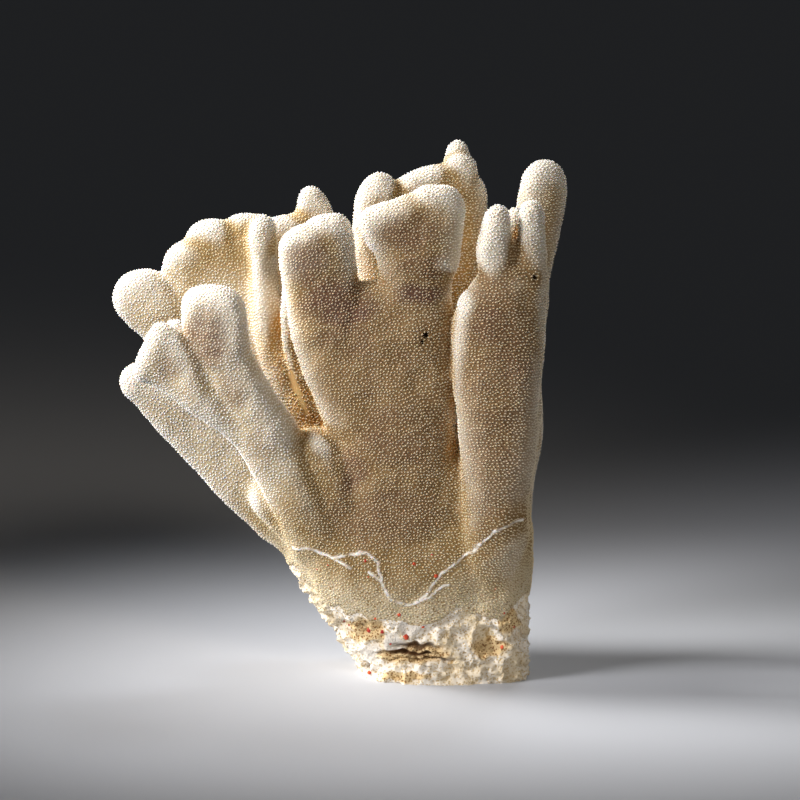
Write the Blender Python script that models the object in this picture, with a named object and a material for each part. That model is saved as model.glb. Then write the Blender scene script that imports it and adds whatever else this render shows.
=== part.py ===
"""Cat's paw coral skeleton: a colony of flattened, finger-tipped paws that rise from one trunk
on a crusted reef-rock foot, which is cut off flat so that the piece stands.

Metres, +Z up. The origin is the middle of the flat cut. The front of the colony faces -Y.
"""

import math

import bmesh
import bpy
from mathutils import Vector, noise

MM = 0.001

# The view that the colony is measured in: across and up are read square to this view, in
# millimetres, from the middle of the foot's front lower edge, and depth is the real Y.
VIEW_TILT = math.radians(10)
VIEW_DISTANCE = 1500
VIEW_CENTRE = (-13.9, 99.3)
FOOT_FRONT = -22

# How the fingers are run together into one skin.
VOXEL = 1.2 * MM
SMOOTHING_STEPS = 14
TRIANGLES = 7860
RING_POINTS = 20
SECTION_STEP = 2.5
TIP_SECTIONS = 7
SECTION_POWER = 2.3

# Lumps of the grown skin, and the rougher relief of the crusted foot below the skin's edge.
LUMP_HEIGHT = 0.8 * MM
LUMP_SIZE = 15 * MM
CRUST_HEIGHT = 1.9 * MM
CRUST_SIZE = 7 * MM
SKIN_THICKNESS = 1.2 * MM

# The skin's lower edge, as (across, up) in the measured view.
SKIN_EDGE = (
    (-52, 42),
    (-42, 30),
    (-33, 25),
    (-14, 21.5),
    (-3, 21.5),
    (6, 26.5),
    (14, 25.5),
    (21, 21.5),
    (30, 33),
)

# Raised seams where the colony grew over itself, low on its front: (across, up) routes.
SEAMS = (
    ((-50, 48.3), (-43.4, 46.2), (-34.7, 42.7), (-27.8, 41.3)),
    ((-41.7, 46.5), (-31.3, 45.5), (-22, 43.8), (-20, 38.5)),
    (
        (-24.3, 39.6),
        (-19.1, 33.3),
        (-17.5, 29),
        (-11.5, 27.6),
        (-5.2, 33.3),
        (4.2, 42),
        (13.9, 47.2),
        (20.8, 54.2),
        (27.5, 57.6),
    ),
)
SEAM_HEIGHT = 1.3 * MM
SEAM_WIDTH = 2.2

# Hollows eaten into the foot's front: (across, up, half width, half height, depth in metres).
HOLLOWS = (
    (-8, 11.4, 11, 3.2, 4 * MM),
    (-37, 21, 4, 5, 2 * MM),
    (17, 13, 6, 2.6, 2 * MM),
    (-27, 18, 6, 4.5, 1.6 * MM),
)

# Shallow dents in the front fingers' faces, written the same way.
DENTS = (
    (-79, 124, 8, 10, 0.8 * MM),
    (-92, 114, 6, 9, 0.8 * MM),
)
DENT_REACH = -16 * MM

# The cuts at the forks: a point and a normal, in millimetres.
JOINT_GAP = 0.3 * MM
FOOT_CUT = ((0, 0, 24), (0.1, 0, 1))
TRUNK_CUT = ((-15, 0, 51), (-0.12, 0, 1))
FRONT_AND_BACK = ((0, -8.3, 90), (0, 1, 0.03))
LEFT_OF_FRONT = ((-44.5, -20, 85), (1, 0, 0.246))
RIGHT_OF_FRONT = ((4.6, -20, 90), (1, -0.8, -0.09))
RIGHT_OF_BACK = ((17.5, 12, 118), (1, 0, -0.055))
BEHIND_RIGHT = ((25, 20.5, 80), (0, 1, -0.1))
LEFT_OF_BACK = ((-31, 20, 100), (1, 0, 0.05))
BEHIND_CENTRE = ((-5, 26.5, 74), (0, 1, -0.17))
BEHIND_LEFT = ((-45, 33, 76), (0, 1, -0.2))
OVER_FIN = ((-78, 5, 93.7), (0.73, 0, 1))
BEHIND_FAN = ((-60, 20, 100), (0, 1, -0.04))

SKELETON_COLOUR = (0.82, 0.75, 0.61, 1)
CRUST_COLOUR = (0.78, 0.72, 0.60, 1)
SKELETON_ROUGHNESS = 0.8
CRUST_ROUGHNESS = 0.92


def place(across, up, depth):
    """The point, in metres, that stands at (across, up) in the measured view and at Y = depth."""
    behind = depth - FOOT_FRONT
    off_across = across - VIEW_CENTRE[0]
    off_up = up - VIEW_CENTRE[1]
    height = (
        VIEW_CENTRE[1]
        + off_up * (1 + behind * math.cos(VIEW_TILT) / VIEW_DISTANCE)
        - behind * math.sin(VIEW_TILT)
    ) / (math.cos(VIEW_TILT) + off_up * math.sin(VIEW_TILT) / VIEW_DISTANCE)
    away = behind * math.cos(VIEW_TILT) - height * math.sin(VIEW_TILT)
    x = VIEW_CENTRE[0] + off_across * (1 + away / VIEW_DISTANCE)
    return Vector((x, depth, height)) * MM


def seen_at(point):
    """Where a point is in the measured view, as (across, up) in millimetres."""
    x, y, z = (c / MM for c in point)
    behind = y - FOOT_FRONT
    away = behind * math.cos(VIEW_TILT) - z * math.sin(VIEW_TILT)
    scale = 1 + away / VIEW_DISTANCE
    rise = z * math.cos(VIEW_TILT) + behind * math.sin(VIEW_TILT)
    across = VIEW_CENTRE[0] + (x - VIEW_CENTRE[0]) / scale
    return across, VIEW_CENTRE[1] + (rise - VIEW_CENTRE[1]) / scale


def catmull_rom(a, b, c, d, t):
    """The value at share t of the way from b to c on a smooth curve through a, b, c and d."""
    return 0.5 * (
        2 * b
        + (c - a) * t
        + (2 * a - 5 * b + 4 * c - d) * t**2
        + (3 * b - a - 3 * c + d) * t**3
    )


def stations_along(stations):
    """Sections read off a smooth curve through the stations: (centre, half width, half depth)."""
    points = [(place(*s[:3]), s[3] * MM, s[4] * MM) for s in stations]
    ends = [points[0], *points, points[-1]]
    read = []
    for a, b, c, d in zip(ends, ends[1:], ends[2:], ends[3:]):
        steps = max(2, round((c[0] - b[0]).length / (SECTION_STEP * MM)))
        for i in range(steps):
            read.append([catmull_rom(*(p[k] for p in (a, b, c, d)), i / steps) for k in range(3)])
    return [*read, list(points[-1])]


def rounding(left, reach, power):
    """How much of its full size a section has when only `left` of the finger remains."""
    if left >= reach:
        return 1.0
    return max(0.0, 1 - (1 - left / reach) ** power) ** (1 / power)


def tip_sections(read, reach):
    """The sections with those in the last `reach` set closer and closer, so that the tip is round."""
    lengths = [0.0]
    for a, b in zip(read, read[1:]):
        lengths.append(lengths[-1] + (b[0] - a[0]).length)
    total = lengths[-1]
    wanted = [s for s in lengths if s < total - reach]
    wanted += [
        total - reach * (1 - math.sin(math.pi / 2 * i / TIP_SECTIONS)) for i in range(TIP_SECTIONS)
    ]
    wanted.append(total - reach * 0.003)
    found = []
    for s in wanted:
        s = max(s, 0.0)
        i = max(k for k in range(len(lengths) - 1) if lengths[k] <= s)
        share = (s - lengths[i]) / (lengths[i + 1] - lengths[i])
        a, b = read[i], read[i + 1]
        found.append([total - s, *(p + (q - p) * share for p, q in zip(a, b))])
    return found


def finger(bm, stations, facing=0, blunt=1.0, power=2.2, buried=False):
    """Adds one closed, flattened finger. Each station is (across, up, depth, half width, half
    depth) in millimetres, and the last one is the very tip. Facing turns the flat side about Z.
    A buried tip also thins towards its end, so that it runs out inside the fingers above it."""
    turned = math.radians(facing)
    flat = Vector((math.sin(turned), -math.cos(turned), 0))
    reach = stations[-1][3] * blunt * MM
    sections = tip_sections(stations_along(stations), reach)
    rings = []
    for i, (left, centre, half_width, half_depth) in enumerate(sections):
        before = sections[max(i - 1, 0)][1]
        after = sections[min(i + 1, len(sections) - 1)][1]
        along = (after - before).normalized()
        wide = along.cross(flat).normalized()
        deep = wide.cross(along).normalized()
        half_width *= rounding(left, reach, power)
        half_depth *= rounding(left, reach if buried else min(half_depth, reach), 2)
        ring = []
        for k in range(RING_POINTS):
            angle = math.tau * k / RING_POINTS
            cos, sin = math.cos(angle), math.sin(angle)
            w = math.copysign(abs(cos) ** (2 / SECTION_POWER), cos) * half_width
            d = math.copysign(abs(sin) ** (2 / SECTION_POWER), sin) * half_depth
            ring.append(bm.verts.new(centre + wide * w + deep * d))
        rings.append(ring)
    sides = []
    for low, high in zip(rings, rings[1:]):
        for k in range(RING_POINTS):
            n = (k + 1) % RING_POINTS
            sides.append(bm.faces.new((low[k], low[n], high[n], high[k])))
    sides.append(bm.faces.new(rings[0][::-1]))
    sides.append(bm.faces.new(rings[-1]))
    bmesh.ops.recalc_face_normals(bm, faces=sides)


def trunk_and_foot(bm):
    """The crusted foot, which the cut passes through, and the trunk that widens above it."""
    foot = [
        (1.8, -12, -1, 29.8, 21),
        (1.2, 0, 0, 30.4, 22),
        (0.2, 14, 1, 30.8, 22.5),
        (-5, 30, 2, 34, 22.5),
        (-10, 42, 3, 38.5, 21),
        (-13, 56, 3, 40, 18),
        (-15, 74, 2, 34, 12),
    ]
    finger(bm, foot, blunt=0.9, buried=True)
    heel = [(-5, -8, 11, 24, 14), (-4.6, 12, 12, 24.8, 15), (-11, 30, 13, 30, 15), (-12, 52, 14, 30, 12)]
    finger(bm, heel, facing=-10, blunt=0.8, buried=True)
    apron = [
        (0, 12, -6, 24, 13),
        (-6, 32, -8, 32, 14.5),
        (-11, 48, -10, 36, 15),
        (-16, 64, -12, 36, 14),
        (-20, 80, -14, 30, 11),
        (-23, 94, -16, 20, 8),
    ]
    finger(bm, apron, blunt=1.2, buried=True)
    left = [(-14, 25, 2, 21, 16), (-23, 38, 1, 23.5, 17), (-33.4, 52, 0, 22.8, 14.5), (-44, 66, -2, 18, 11)]
    finger(bm, left, facing=-6, buried=True)
    right = [
        (17.5, -10, -5, 14, 14),
        (17, 20, -5, 14.5, 14.5),
        (17, 40, -6, 15, 15),
        (18.5, 54, -10, 13.5, 14),
        (19, 74, -14, 11, 10),
    ]
    finger(bm, right, buried=True)
    knob = [(-40, 52, -5, 12, 11), (-53, 61, -7, 9, 9), (-65, 70.5, -8, 6, 6)]
    finger(bm, knob)
    web = [(-28, 46, -11, 15, 12), (-37, 64, -16, 13, 9.6), (-42.5, 78, -18, 11, 8), (-44, 89, -18.5, 8, 7)]
    finger(bm, web, facing=-8, blunt=0.8)


def centre_front_paw(bm):
    """The broad palm in front, with a slanting left finger and a flared right one."""
    palm = [
        (-13, 26, -2, 18, 8),
        (-14, 54, -13, 22, 12),
        (-15.5, 78, -18, 20, 9.6),
        (-17.5, 98, -20, 20.5, 8.2),
        (-20, 116, -21, 22, 7.4),
        (-22, 128, -21, 22, 7),
        (-23.5, 141, -21, 17, 6.2),
    ]
    finger(bm, palm, blunt=0.9, buried=True)
    left = [
        (-16, 66, -14, 9, 6),
        (-26, 90, -19, 12, 7.8),
        (-33, 106, -20.5, 12.2, 7.4),
        (-38.3, 122, -21, 12.8, 7.2),
        (-40.7, 137, -21, 13, 7),
        (-43.4, 147, -22, 12.2, 6.6),
        (-44.8, 153.6, -22, 11, 6.2),
        (-47, 160.4, -22, 9.4, 5.6),
    ]
    finger(bm, left, facing=-6, blunt=0.5, power=3)
    peak = [(-36, 132, -21, 8, 6.6), (-37.8, 149, -22, 8.2, 6.2), (-39.4, 163.7, -22, 7, 5.6)]
    finger(bm, peak, blunt=0.6, power=2.8)
    right = [
        (-7.4, 62, -12, 9.4, 6),
        (-7.8, 90, -18, 13.2, 8),
        (-8.2, 122, -21, 13, 7.2),
        (-8.2, 138, -21.5, 12.6, 7),
        (-8, 147, -22, 13.4, 6.8),
        (-8.6, 156, -22.5, 16.2, 6.4),
        (-12.6, 170, -23, 18.6, 6),
    ]
    finger(bm, right, facing=5, blunt=0.36, power=3.8)
    corner = [(-3.5, 146, -22, 9.5, 6.6), (-1.6, 160, -23, 10, 6.3), (-0.8, 173.8, -23, 9.4, 5.8)]
    finger(bm, corner, blunt=0.9, power=2.5)
    pocket_rim = [(-35.6, 86, -10, 3.4, 3.4), (-37, 91, -13.5, 3.2, 3.2), (-37.8, 95, -15, 2.4, 2.6)]
    finger(bm, pocket_rim)


def right_front_column(bm):
    """The upright column on the right, with a shoulder and two slim fingers."""
    column = [
        (17.5, 26, -5, 9, 8),
        (19, 52, -17.5, 11.6, 11),
        (19.2, 66, -22, 11.6, 10),
        (20, 82, -25, 12.8, 9),
        (20.3, 105, -26.5, 14.4, 8.4),
        (20.4, 120, -26.5, 14.6, 8),
        (21.5, 131, -26.5, 13.8, 7.6),
        (24.6, 141, -26.5, 10.8, 7.2),
        (25.4, 149, -26.5, 9.6, 6.6),
    ]
    finger(bm, column, blunt=0.8, power=2.3, buried=True)
    shoulder = [(14.6, 100, -26, 9, 6.8), (12.4, 120, -27, 8, 6.6), (12.2, 138, -27, 5.8, 6)]
    finger(bm, shoulder, power=2.3)
    left = [
        (17, 116, -26, 8, 6.8),
        (20.4, 138, -27, 6.2, 6.4),
        (19, 151, -28, 6.1, 6),
        (19.5, 159, -28.5, 5, 5.4),
        (20.6, 167, -28.5, 4, 5),
    ]
    finger(bm, left, blunt=1.5)
    right = [
        (28, 118, -25, 8, 7),
        (30.8, 138, -26, 6.4, 6.4),
        (31.8, 152, -26.5, 5.2, 5.6),
        (32, 160, -26.5, 4.6, 5.2),
        (31.7, 169, -26.5, 3.8, 4.8),
    ]
    finger(bm, right, blunt=1.5)
    bud = [(25, 136, -20, 5, 4.4), (26, 154, -18, 4, 3.8), (26.3, 166.6, -16, 3.4, 3.6)]
    finger(bm, bud)


def left_front_paw(bm):
    """The paw that leans to the left in front, with a thick right finger and a folded left one."""
    palm = [
        (-24, 34, -2, 13, 9),
        (-38, 52, -10, 15, 12),
        (-48, 67, -16, 11.6, 11),
        (-57, 81, -19.5, 10.2, 9),
        (-64, 92, -21, 9.2, 7.6),
        (-70, 101, -21, 7, 6.6),
    ]
    finger(bm, palm, facing=-22, buried=True)
    right = [
        (-44, 62, -13, 7, 7),
        (-57, 83, -20, 9.6, 8.4),
        (-65.7, 99, -23, 8.8, 7.6),
        (-73.2, 111.5, -24, 9, 7.2),
        (-77, 121.5, -24.5, 11, 7.2),
        (-78.2, 130, -24.5, 11.8, 7),
        (-78, 139, -24, 10.4, 6.4),
    ]
    finger(bm, right, facing=-22, blunt=0.75, power=2.4)
    left = [
        (-54, 76, -15, 6, 6),
        (-67, 89, -19, 6, 7),
        (-77, 96.5, -21, 6.2, 7),
        (-85, 103, -22, 7.6, 6.4),
        (-91, 109, -22.5, 9.8, 5.6),
        (-97.2, 114.6, -22.5, 11.6, 5),
        (-103.8, 117.8, -22, 11.6, 4.4),
    ]
    finger(bm, left, facing=-36, blunt=0.34, power=3)
    fold = [(-82, 101, -15, 6, 4), (-88.5, 112, -13, 5.6, 3.6), (-93, 127.6, -12, 4.4, 3.2)]
    finger(bm, fold, facing=-30)


def low_left_fin(bm):
    """The long fin that runs out low on the left, behind the left front paw."""
    fin = [
        (-30, 46, 2, 12, 10),
        (-46, 59, 2, 16, 11),
        (-62, 70, 1.5, 14.2, 9),
        (-79, 84, 1, 11, 7.4),
        (-92, 95, 0.5, 9.4, 6.6),
        (-100.5, 103, 0.5, 7.6, 6.2),
        (-110.4, 108.6, 0.5, 6.2, 5.6),
    ]
    finger(bm, fin, facing=-20)


def left_rear_paw(bm):
    """The wide fan behind the left front paw: one finger low on the left, a scalloped crest, and
    a right edge that folds forward into a plate seen edge on."""
    palm = [
        (-38, 52, 5, 16, 11),
        (-50, 76, 7, 18, 9.5),
        (-59, 98, 9, 18.5, 8.2),
        (-66, 116, 10, 19, 7.4),
        (-72, 132, 10, 20, 7),
        (-75, 145, 10, 19, 6.4),
        (-76, 156, 10, 16, 5.8),
    ]
    finger(bm, palm, facing=-16, blunt=0.9, power=2.5)
    crest = (
        [(-70, 112, 10, 12, 7), (-81.5, 136, 10, 12.8, 6.4), (-88, 155.4, 10, 10.8, 5.8)],
        [(-68, 122, 10, 14, 7), (-77, 146, 9.5, 11, 6.4), (-81.4, 162, 9.5, 8, 5.6)],
        [(-62, 122, 10, 12, 7), (-66.4, 147, 9.5, 9.6, 6.4), (-67.6, 164.2, 9, 8.4, 5.6)],
    )
    for stations in crest:
        finger(bm, stations, facing=-16, blunt=0.9, power=2.4)
    outer = [
        (-56, 88, 10, 12, 8.5),
        (-75, 109, 12, 11.6, 7.6),
        (-91, 123.5, 12.5, 11, 7),
        (-100.5, 132.5, 12.5, 11, 6.8),
        (-110.8, 141.4, 12.5, 10, 6.2),
    ]
    finger(bm, outer, facing=-20)
    plate = [
        (-34, 60, 4, 13, 9),
        (-40, 76, 6, 13, 8),
        (-47, 92, 6, 13, 6.8),
        (-54, 110, 6, 12.6, 5.8),
        (-59, 128, 6, 12.2, 5.2),
        (-61.5, 146, 7, 11.2, 4.7),
        (-61.8, 163.6, 8, 9.5, 4.4),
    ]
    finger(bm, plate, facing=84, blunt=0.8)
    face = [
        (-38, 74, -9, 10, 8),
        (-43.5, 88, -7, 9, 7.4),
        (-48.5, 98, -4.5, 8.6, 7),
        (-53.5, 109, -2, 8, 6.4),
        (-57.6, 121, 0, 7, 6),
        (-60.4, 135, 1, 5.6, 5.6),
        (-61.6, 152, 3, 4.6, 5.4),
    ]
    finger(bm, face, facing=-24)
    strip = [
        (-33, 78, -8, 5, 7),
        (-37, 90, -9, 6, 7),
        (-41, 99, -9.5, 6.2, 7),
        (-45, 108, -9.5, 5.8, 6.6),
        (-48.6, 117, -9.5, 5.2, 6.2),
        (-51.4, 128, -9, 3.2, 5),
        (-52.6, 141, -6, 1.6, 3.6),
    ]
    finger(bm, strip, facing=-20)


def rear_finger_fan(bm):
    """The fan behind the folded plate, which carries one pointed finger."""
    fan = [
        (-32, 56, 16, 15, 11),
        (-40, 84, 25, 14, 8.8),
        (-47, 112, 29, 14.5, 7.6),
        (-51, 140, 30, 14, 6.8),
        (-56, 163, 31, 11.6, 5.8),
    ]
    finger(bm, fan, facing=8, blunt=0.8, power=2.5)
    pointed = [
        (-43.5, 134, 31, 9, 6.5),
        (-43, 154, 33, 7.8, 5.8),
        (-43.4, 163.6, 33, 6.8, 5.2),
        (-45, 169.4, 33, 5, 4.4),
        (-46.8, 173, 33, 3, 3.4),
    ]
    finger(bm, pointed, facing=5)


def rear_centre_paw(bm):
    """The tall fan behind the centre, with four fingers and a curved right side."""
    palm = [
        (-9, 48, 10, 22, 12),
        (-9, 80, 16, 22, 9.5),
        (-9, 110, 19, 21.5, 8),
        (-9, 135, 20, 21, 7.2),
        (-8.5, 152, 21, 20, 6.8),
        (-8, 172, 21, 16, 6.2),
    ]
    finger(bm, palm, facing=-4, blunt=0.9, power=2.4, buried=True)
    left = [
        (-19, 120, 19, 9, 7),
        (-22, 150, 20, 8, 6.2),
        (-22, 166, 20, 7.6, 5.8),
        (-20, 178.2, 20, 6, 5.2),
    ]
    finger(bm, left, blunt=1.5)
    middle = [(-5, 136, 21, 11, 6.8), (-2, 160, 21, 10.6, 6.2), (-7.8, 179.4, 22, 10.4, 5.6)]
    finger(bm, middle, blunt=0.5, power=2.6)
    right = [(1, 136, 22, 10, 6.8), (5, 164, 23, 8.4, 6.2), (7.6, 184.8, 24, 5.4, 5.2)]
    finger(bm, right, blunt=0.9)
    spur = [(5, 156, 27, 7, 6), (6.2, 176, 29, 5.2, 4.8), (5.9, 189.6, 29, 3.4, 3.3)]
    finger(bm, spur)
    side = [
        (2, 52, 10, 12, 11),
        (5.5, 86, 15, 10, 8.8),
        (8, 122, 20, 8.6, 7.4),
        (9.2, 150, 23, 7.6, 6.8),
        (9.4, 164, 24, 7, 6.4),
        (10.6, 178, 25, 5.6, 5.4),
    ]
    finger(bm, side, facing=25)


def right_rear_column(bm):
    """The tall column behind the right front one, which bends out to a round tip."""
    column = [
        (17, 42, 3, 13, 12),
        (22.5, 70, 7, 10, 9.4),
        (25.6, 92, 9, 8.8, 8.2),
        (27.3, 118, 10, 8.6, 7.4),
        (29, 132, 10, 8.4, 7),
        (31.2, 147, 10, 8.3, 6.6),
        (33.6, 159, 10, 8.2, 6.4),
        (35.6, 170, 10, 8.2, 6.2),
        (36.4, 183, 10, 7.9, 6),
    ]
    finger(bm, column, facing=20, blunt=1.4, power=2.1)


def rear_low_paw(bm):
    """A shorter paw low on the back, with two fingers."""
    palm = [(-4, 36, 6, 22, 12), (-4, 60, 26, 18, 10), (-3, 82, 36, 16, 8.4), (-3, 102, 41, 15, 7)]
    finger(bm, palm, facing=4, blunt=0.8, buried=True)
    left = [(-9, 76, 34, 9.5, 7.6), (-14, 104, 41, 9.2, 6.8), (-16, 130, 46, 8, 6)]
    finger(bm, left, facing=-16)
    right = [(2, 76, 34, 9, 7.6), (4, 110, 42, 9, 6.8), (4, 141, 46, 8, 6)]
    finger(bm, right, facing=18)


def rear_left_paw(bm):
    """A leaning paw on the back's other side, with two fingers."""
    palm = [(-24, 38, 10, 17, 12), (-36, 60, 28, 14, 10), (-46, 78, 38, 12.5, 8.4), (-54, 93, 43, 11, 7)]
    finger(bm, palm, facing=-26, blunt=0.8, buried=True)
    outer = [(-44, 74, 36, 8.6, 7.4), (-57, 96, 45, 7.6, 6.4), (-66, 111, 49, 6.4, 5.6)]
    finger(bm, outer, facing=-30)
    inner = [(-42, 74, 36, 8.5, 7.4), (-48.5, 104, 45, 7.8, 6.4), (-50.5, 127, 49, 6.4, 5.6)]
    finger(bm, inner, facing=-30)


def rear_right_finger(bm):
    """A single stout finger low on the back at the right."""
    stations = [(12, 36, 6, 13, 12), (21, 62, 24, 10, 9.4), (26, 86, 33, 9.6, 8.2), (27, 116, 37, 8.4, 7)]
    finger(bm, stations, facing=40)


FINGER_GROUPS = (
    trunk_and_foot,
    centre_front_paw,
    right_front_column,
    left_front_paw,
    low_left_fin,
    left_rear_paw,
    rear_finger_fan,
    rear_centre_paw,
    right_rear_column,
    rear_low_paw,
    rear_left_paw,
    rear_right_finger,
)


def evaluated(obj):
    """The object's mesh with its modifiers applied."""
    bpy.context.view_layer.update()
    graph = bpy.context.evaluated_depsgraph_get()
    return bpy.data.meshes.new_from_object(obj.evaluated_get(graph))


def new_object(name, mesh):
    obj = bpy.data.objects.new(name, mesh)
    bpy.context.scene.collection.objects.link(obj)
    return obj


def grown_skin():
    """Every finger run together into one closed skin, with the valleys between them rounded."""
    bm = bmesh.new()
    for add_group in FINGER_GROUPS:
        add_group(bm)
    mesh = bpy.data.meshes.new("fingers")
    bm.to_mesh(mesh)
    bm.free()
    obj = new_object("skin", mesh)
    join = obj.modifiers.new("join", "REMESH")
    join.mode = "VOXEL"
    join.voxel_size = VOXEL
    smooth = obj.modifiers.new("smooth", "SMOOTH")
    smooth.factor = 0.5
    smooth.iterations = SMOOTHING_STEPS
    obj.data = evaluated(obj)
    obj.modifiers.clear()
    return obj


def eased(low, high, value):
    """0 below low, 1 above high, and a smooth rise between them."""
    share = min(max((value - low) / (high - low), 0), 1)
    return share * share * (3 - 2 * share)


def height_of(route, across):
    """How high a route of (across, up) points is at one place across."""
    if across <= route[0][0]:
        return route[0][1]
    for (x0, z0), (x1, z1) in zip(route, route[1:]):
        if across <= x1:
            return z0 + (z1 - z0) * (across - x0) / (x1 - x0)
    return route[-1][1]


def distance_to(route, across, up):
    """How far a place in the view is from a route of (across, up) points."""
    here = Vector((across, up))
    nearest = math.inf
    for start, end in zip(route, route[1:]):
        start, end = Vector(start), Vector(end)
        run = end - start
        share = min(max((here - start).dot(run) / run.length_squared, 0), 1)
        nearest = min(nearest, (here - start - run * share).length)
    return nearest


def sunk(hollows, across, up):
    """How deep the hollows are at a place in the view."""
    total = 0
    for x, z, half_width, half_height, depth in hollows:
        share = ((across - x) / half_width) ** 2 + ((up - z) / half_height) ** 2
        total += depth * (1 - eased(0.2, 1.4, share))
    return total


def relief(point, normal):
    """How far the surface stands out, in metres, from the smooth skin at a point."""
    across, up = seen_at(point)
    lump = noise.fractal(point / LUMP_SIZE, 0.9, 2, 3) * LUMP_HEIGHT
    edge = height_of(SKIN_EDGE, across) + 2.5 * noise.noise(point / (6 * MM))
    crust = 1 - eased(edge - 1.5, edge + 1.5, up)
    ragged = noise.ridged_multi_fractal(point / CRUST_SIZE, 0.8, 2.2, 3, 0.9, 2) - 1
    crusted = ragged * CRUST_HEIGHT - SKIN_THICKNESS
    if normal.y < 0:
        crusted -= sunk(HOLLOWS, across, up)
        lump -= sunk(DENTS, across, up) if point.y < DENT_REACH else 0
        seam = min(distance_to(route, across, up) for route in SEAMS)
        lump += SEAM_HEIGHT * (1 - eased(0.2, SEAM_WIDTH, seam))
    return lump + (crusted - lump) * crust


def add_relief(obj):
    mesh = obj.data
    moves = [(v.index, v.normal * relief(v.co, v.normal)) for v in mesh.vertices]
    for index, move in moves:
        mesh.vertices[index].co += move


def reduce_faces(obj):
    thin = obj.modifiers.new("thin", "DECIMATE")
    thin.ratio = TRIANGLES / (2 * len(obj.data.polygons))
    thin.use_collapse_triangulate = True
    obj.data = evaluated(obj)
    obj.modifiers.clear()


def islands(bm):
    """The separate shells of a mesh, each as a list of faces."""
    left = set(bm.faces)
    found = []
    while left:
        reached = {left.pop()}
        edge_on = list(reached)
        while edge_on:
            face = edge_on.pop()
            for edge in face.edges:
                for other in edge.link_faces:
                    if other not in reached:
                        reached.add(other)
                        edge_on.append(other)
        left -= reached
        found.append(list(reached))
    return found


def half(bm, point, normal, keep_above):
    """One side of a closed mesh, closed again along the cut and without stray crumbs."""
    side = bm.copy()
    bmesh.ops.bisect_plane(
        side,
        geom=[*side.verts, *side.edges, *side.faces],
        dist=1e-7,
        plane_co=point,
        plane_no=normal,
        clear_inner=keep_above,
        clear_outer=not keep_above,
    )
    rim = [edge for edge in side.edges if edge.is_boundary]
    bmesh.ops.holes_fill(side, edges=rim, sides=0)
    shells = sorted(islands(side), key=len)
    for crumb in shells[:-1]:
        bmesh.ops.delete(side, geom=crumb, context="FACES")
    return side


def parted(bm, cut):
    """A mesh in two, below and above a cut, with the joint gap between them."""
    point, normal = Vector(cut[0]) * MM, Vector(cut[1]).normalized()
    away = normal * JOINT_GAP / 2
    below = half(bm, point - away, normal, False)
    above = half(bm, point + away, normal, True)
    bm.free()
    return below, above


def split_at_forks(colony):
    """The colony's foot, trunk and branches, each as its own closed mesh."""
    foot, grown = parted(colony, FOOT_CUT)
    trunk, branches = parted(grown, TRUNK_CUT)
    front, back = parted(branches, FRONT_AND_BACK)
    left_front, rest = parted(front, LEFT_OF_FRONT)
    centre_front, right_front = parted(rest, RIGHT_OF_FRONT)
    rest, right_back = parted(back, RIGHT_OF_BACK)
    right_rear, low_right = parted(right_back, BEHIND_RIGHT)
    left_back, centre_back = parted(rest, LEFT_OF_BACK)
    rear_centre, low_centre = parted(centre_back, BEHIND_CENTRE)
    rest, low_left = parted(left_back, BEHIND_LEFT)
    fin, fans = parted(rest, OVER_FIN)
    left_rear, finger_fan = parted(fans, BEHIND_FAN)
    return {
        "reef_foot": foot,
        "trunk": trunk,
        "centre_front_paw": centre_front,
        "right_front_column": right_front,
        "left_front_paw": left_front,
        "low_left_fin": fin,
        "left_rear_fan": left_rear,
        "rear_finger_fan": finger_fan,
        "rear_centre_paw": rear_centre,
        "right_rear_column": right_rear,
        "rear_low_paw": low_centre,
        "rear_left_paw": low_left,
        "rear_right_finger": low_right,
    }


def material(name, colour, roughness):
    made = bpy.data.materials.new(name)
    made.use_nodes = True
    made.diffuse_color = colour
    shader = made.node_tree.nodes["Principled BSDF"]
    shader.inputs["Base Color"].default_value = colour
    shader.inputs["Roughness"].default_value = roughness
    shader.inputs["Metallic"].default_value = 0
    return made


def main():
    for obj in list(bpy.data.objects):
        bpy.data.objects.remove(obj)
    skin = grown_skin()
    add_relief(skin)
    reduce_faces(skin)
    colony = bmesh.new()
    colony.from_mesh(skin.data)
    bpy.data.objects.remove(skin)
    colony = half(colony, Vector((0, 0, 0)), Vector((0, 0, 1)), True)
    for name, piece in split_at_forks(colony).items():
        bmesh.ops.triangulate(piece, faces=piece.faces)
        bmesh.ops.dissolve_degenerate(piece, edges=piece.edges, dist=0.00005)
        bmesh.ops.triangulate(piece, faces=piece.faces)
        bmesh.ops.recalc_face_normals(piece, faces=piece.faces)
        mesh = bpy.data.meshes.new(name)
        piece.to_mesh(mesh)
        piece.free()
        obj = new_object(name, mesh)
        crusted = name == "reef_foot"
        colour = CRUST_COLOUR if crusted else SKELETON_COLOUR
        roughness = CRUST_ROUGHNESS if crusted else SKELETON_ROUGHNESS
        mesh.materials.append(material(name, colour, roughness))


main()
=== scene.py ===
"""Cat's paw coral skeleton: the grown skin, its corallites, the crusted foot and the studio.

Metres, +Z up. The front of the colony faces -Y and the origin is the middle of the flat cut.
"""

import math

import bmesh
import bpy
import numpy as np
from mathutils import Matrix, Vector, noise
from mathutils.bvhtree import BVHTree


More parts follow.
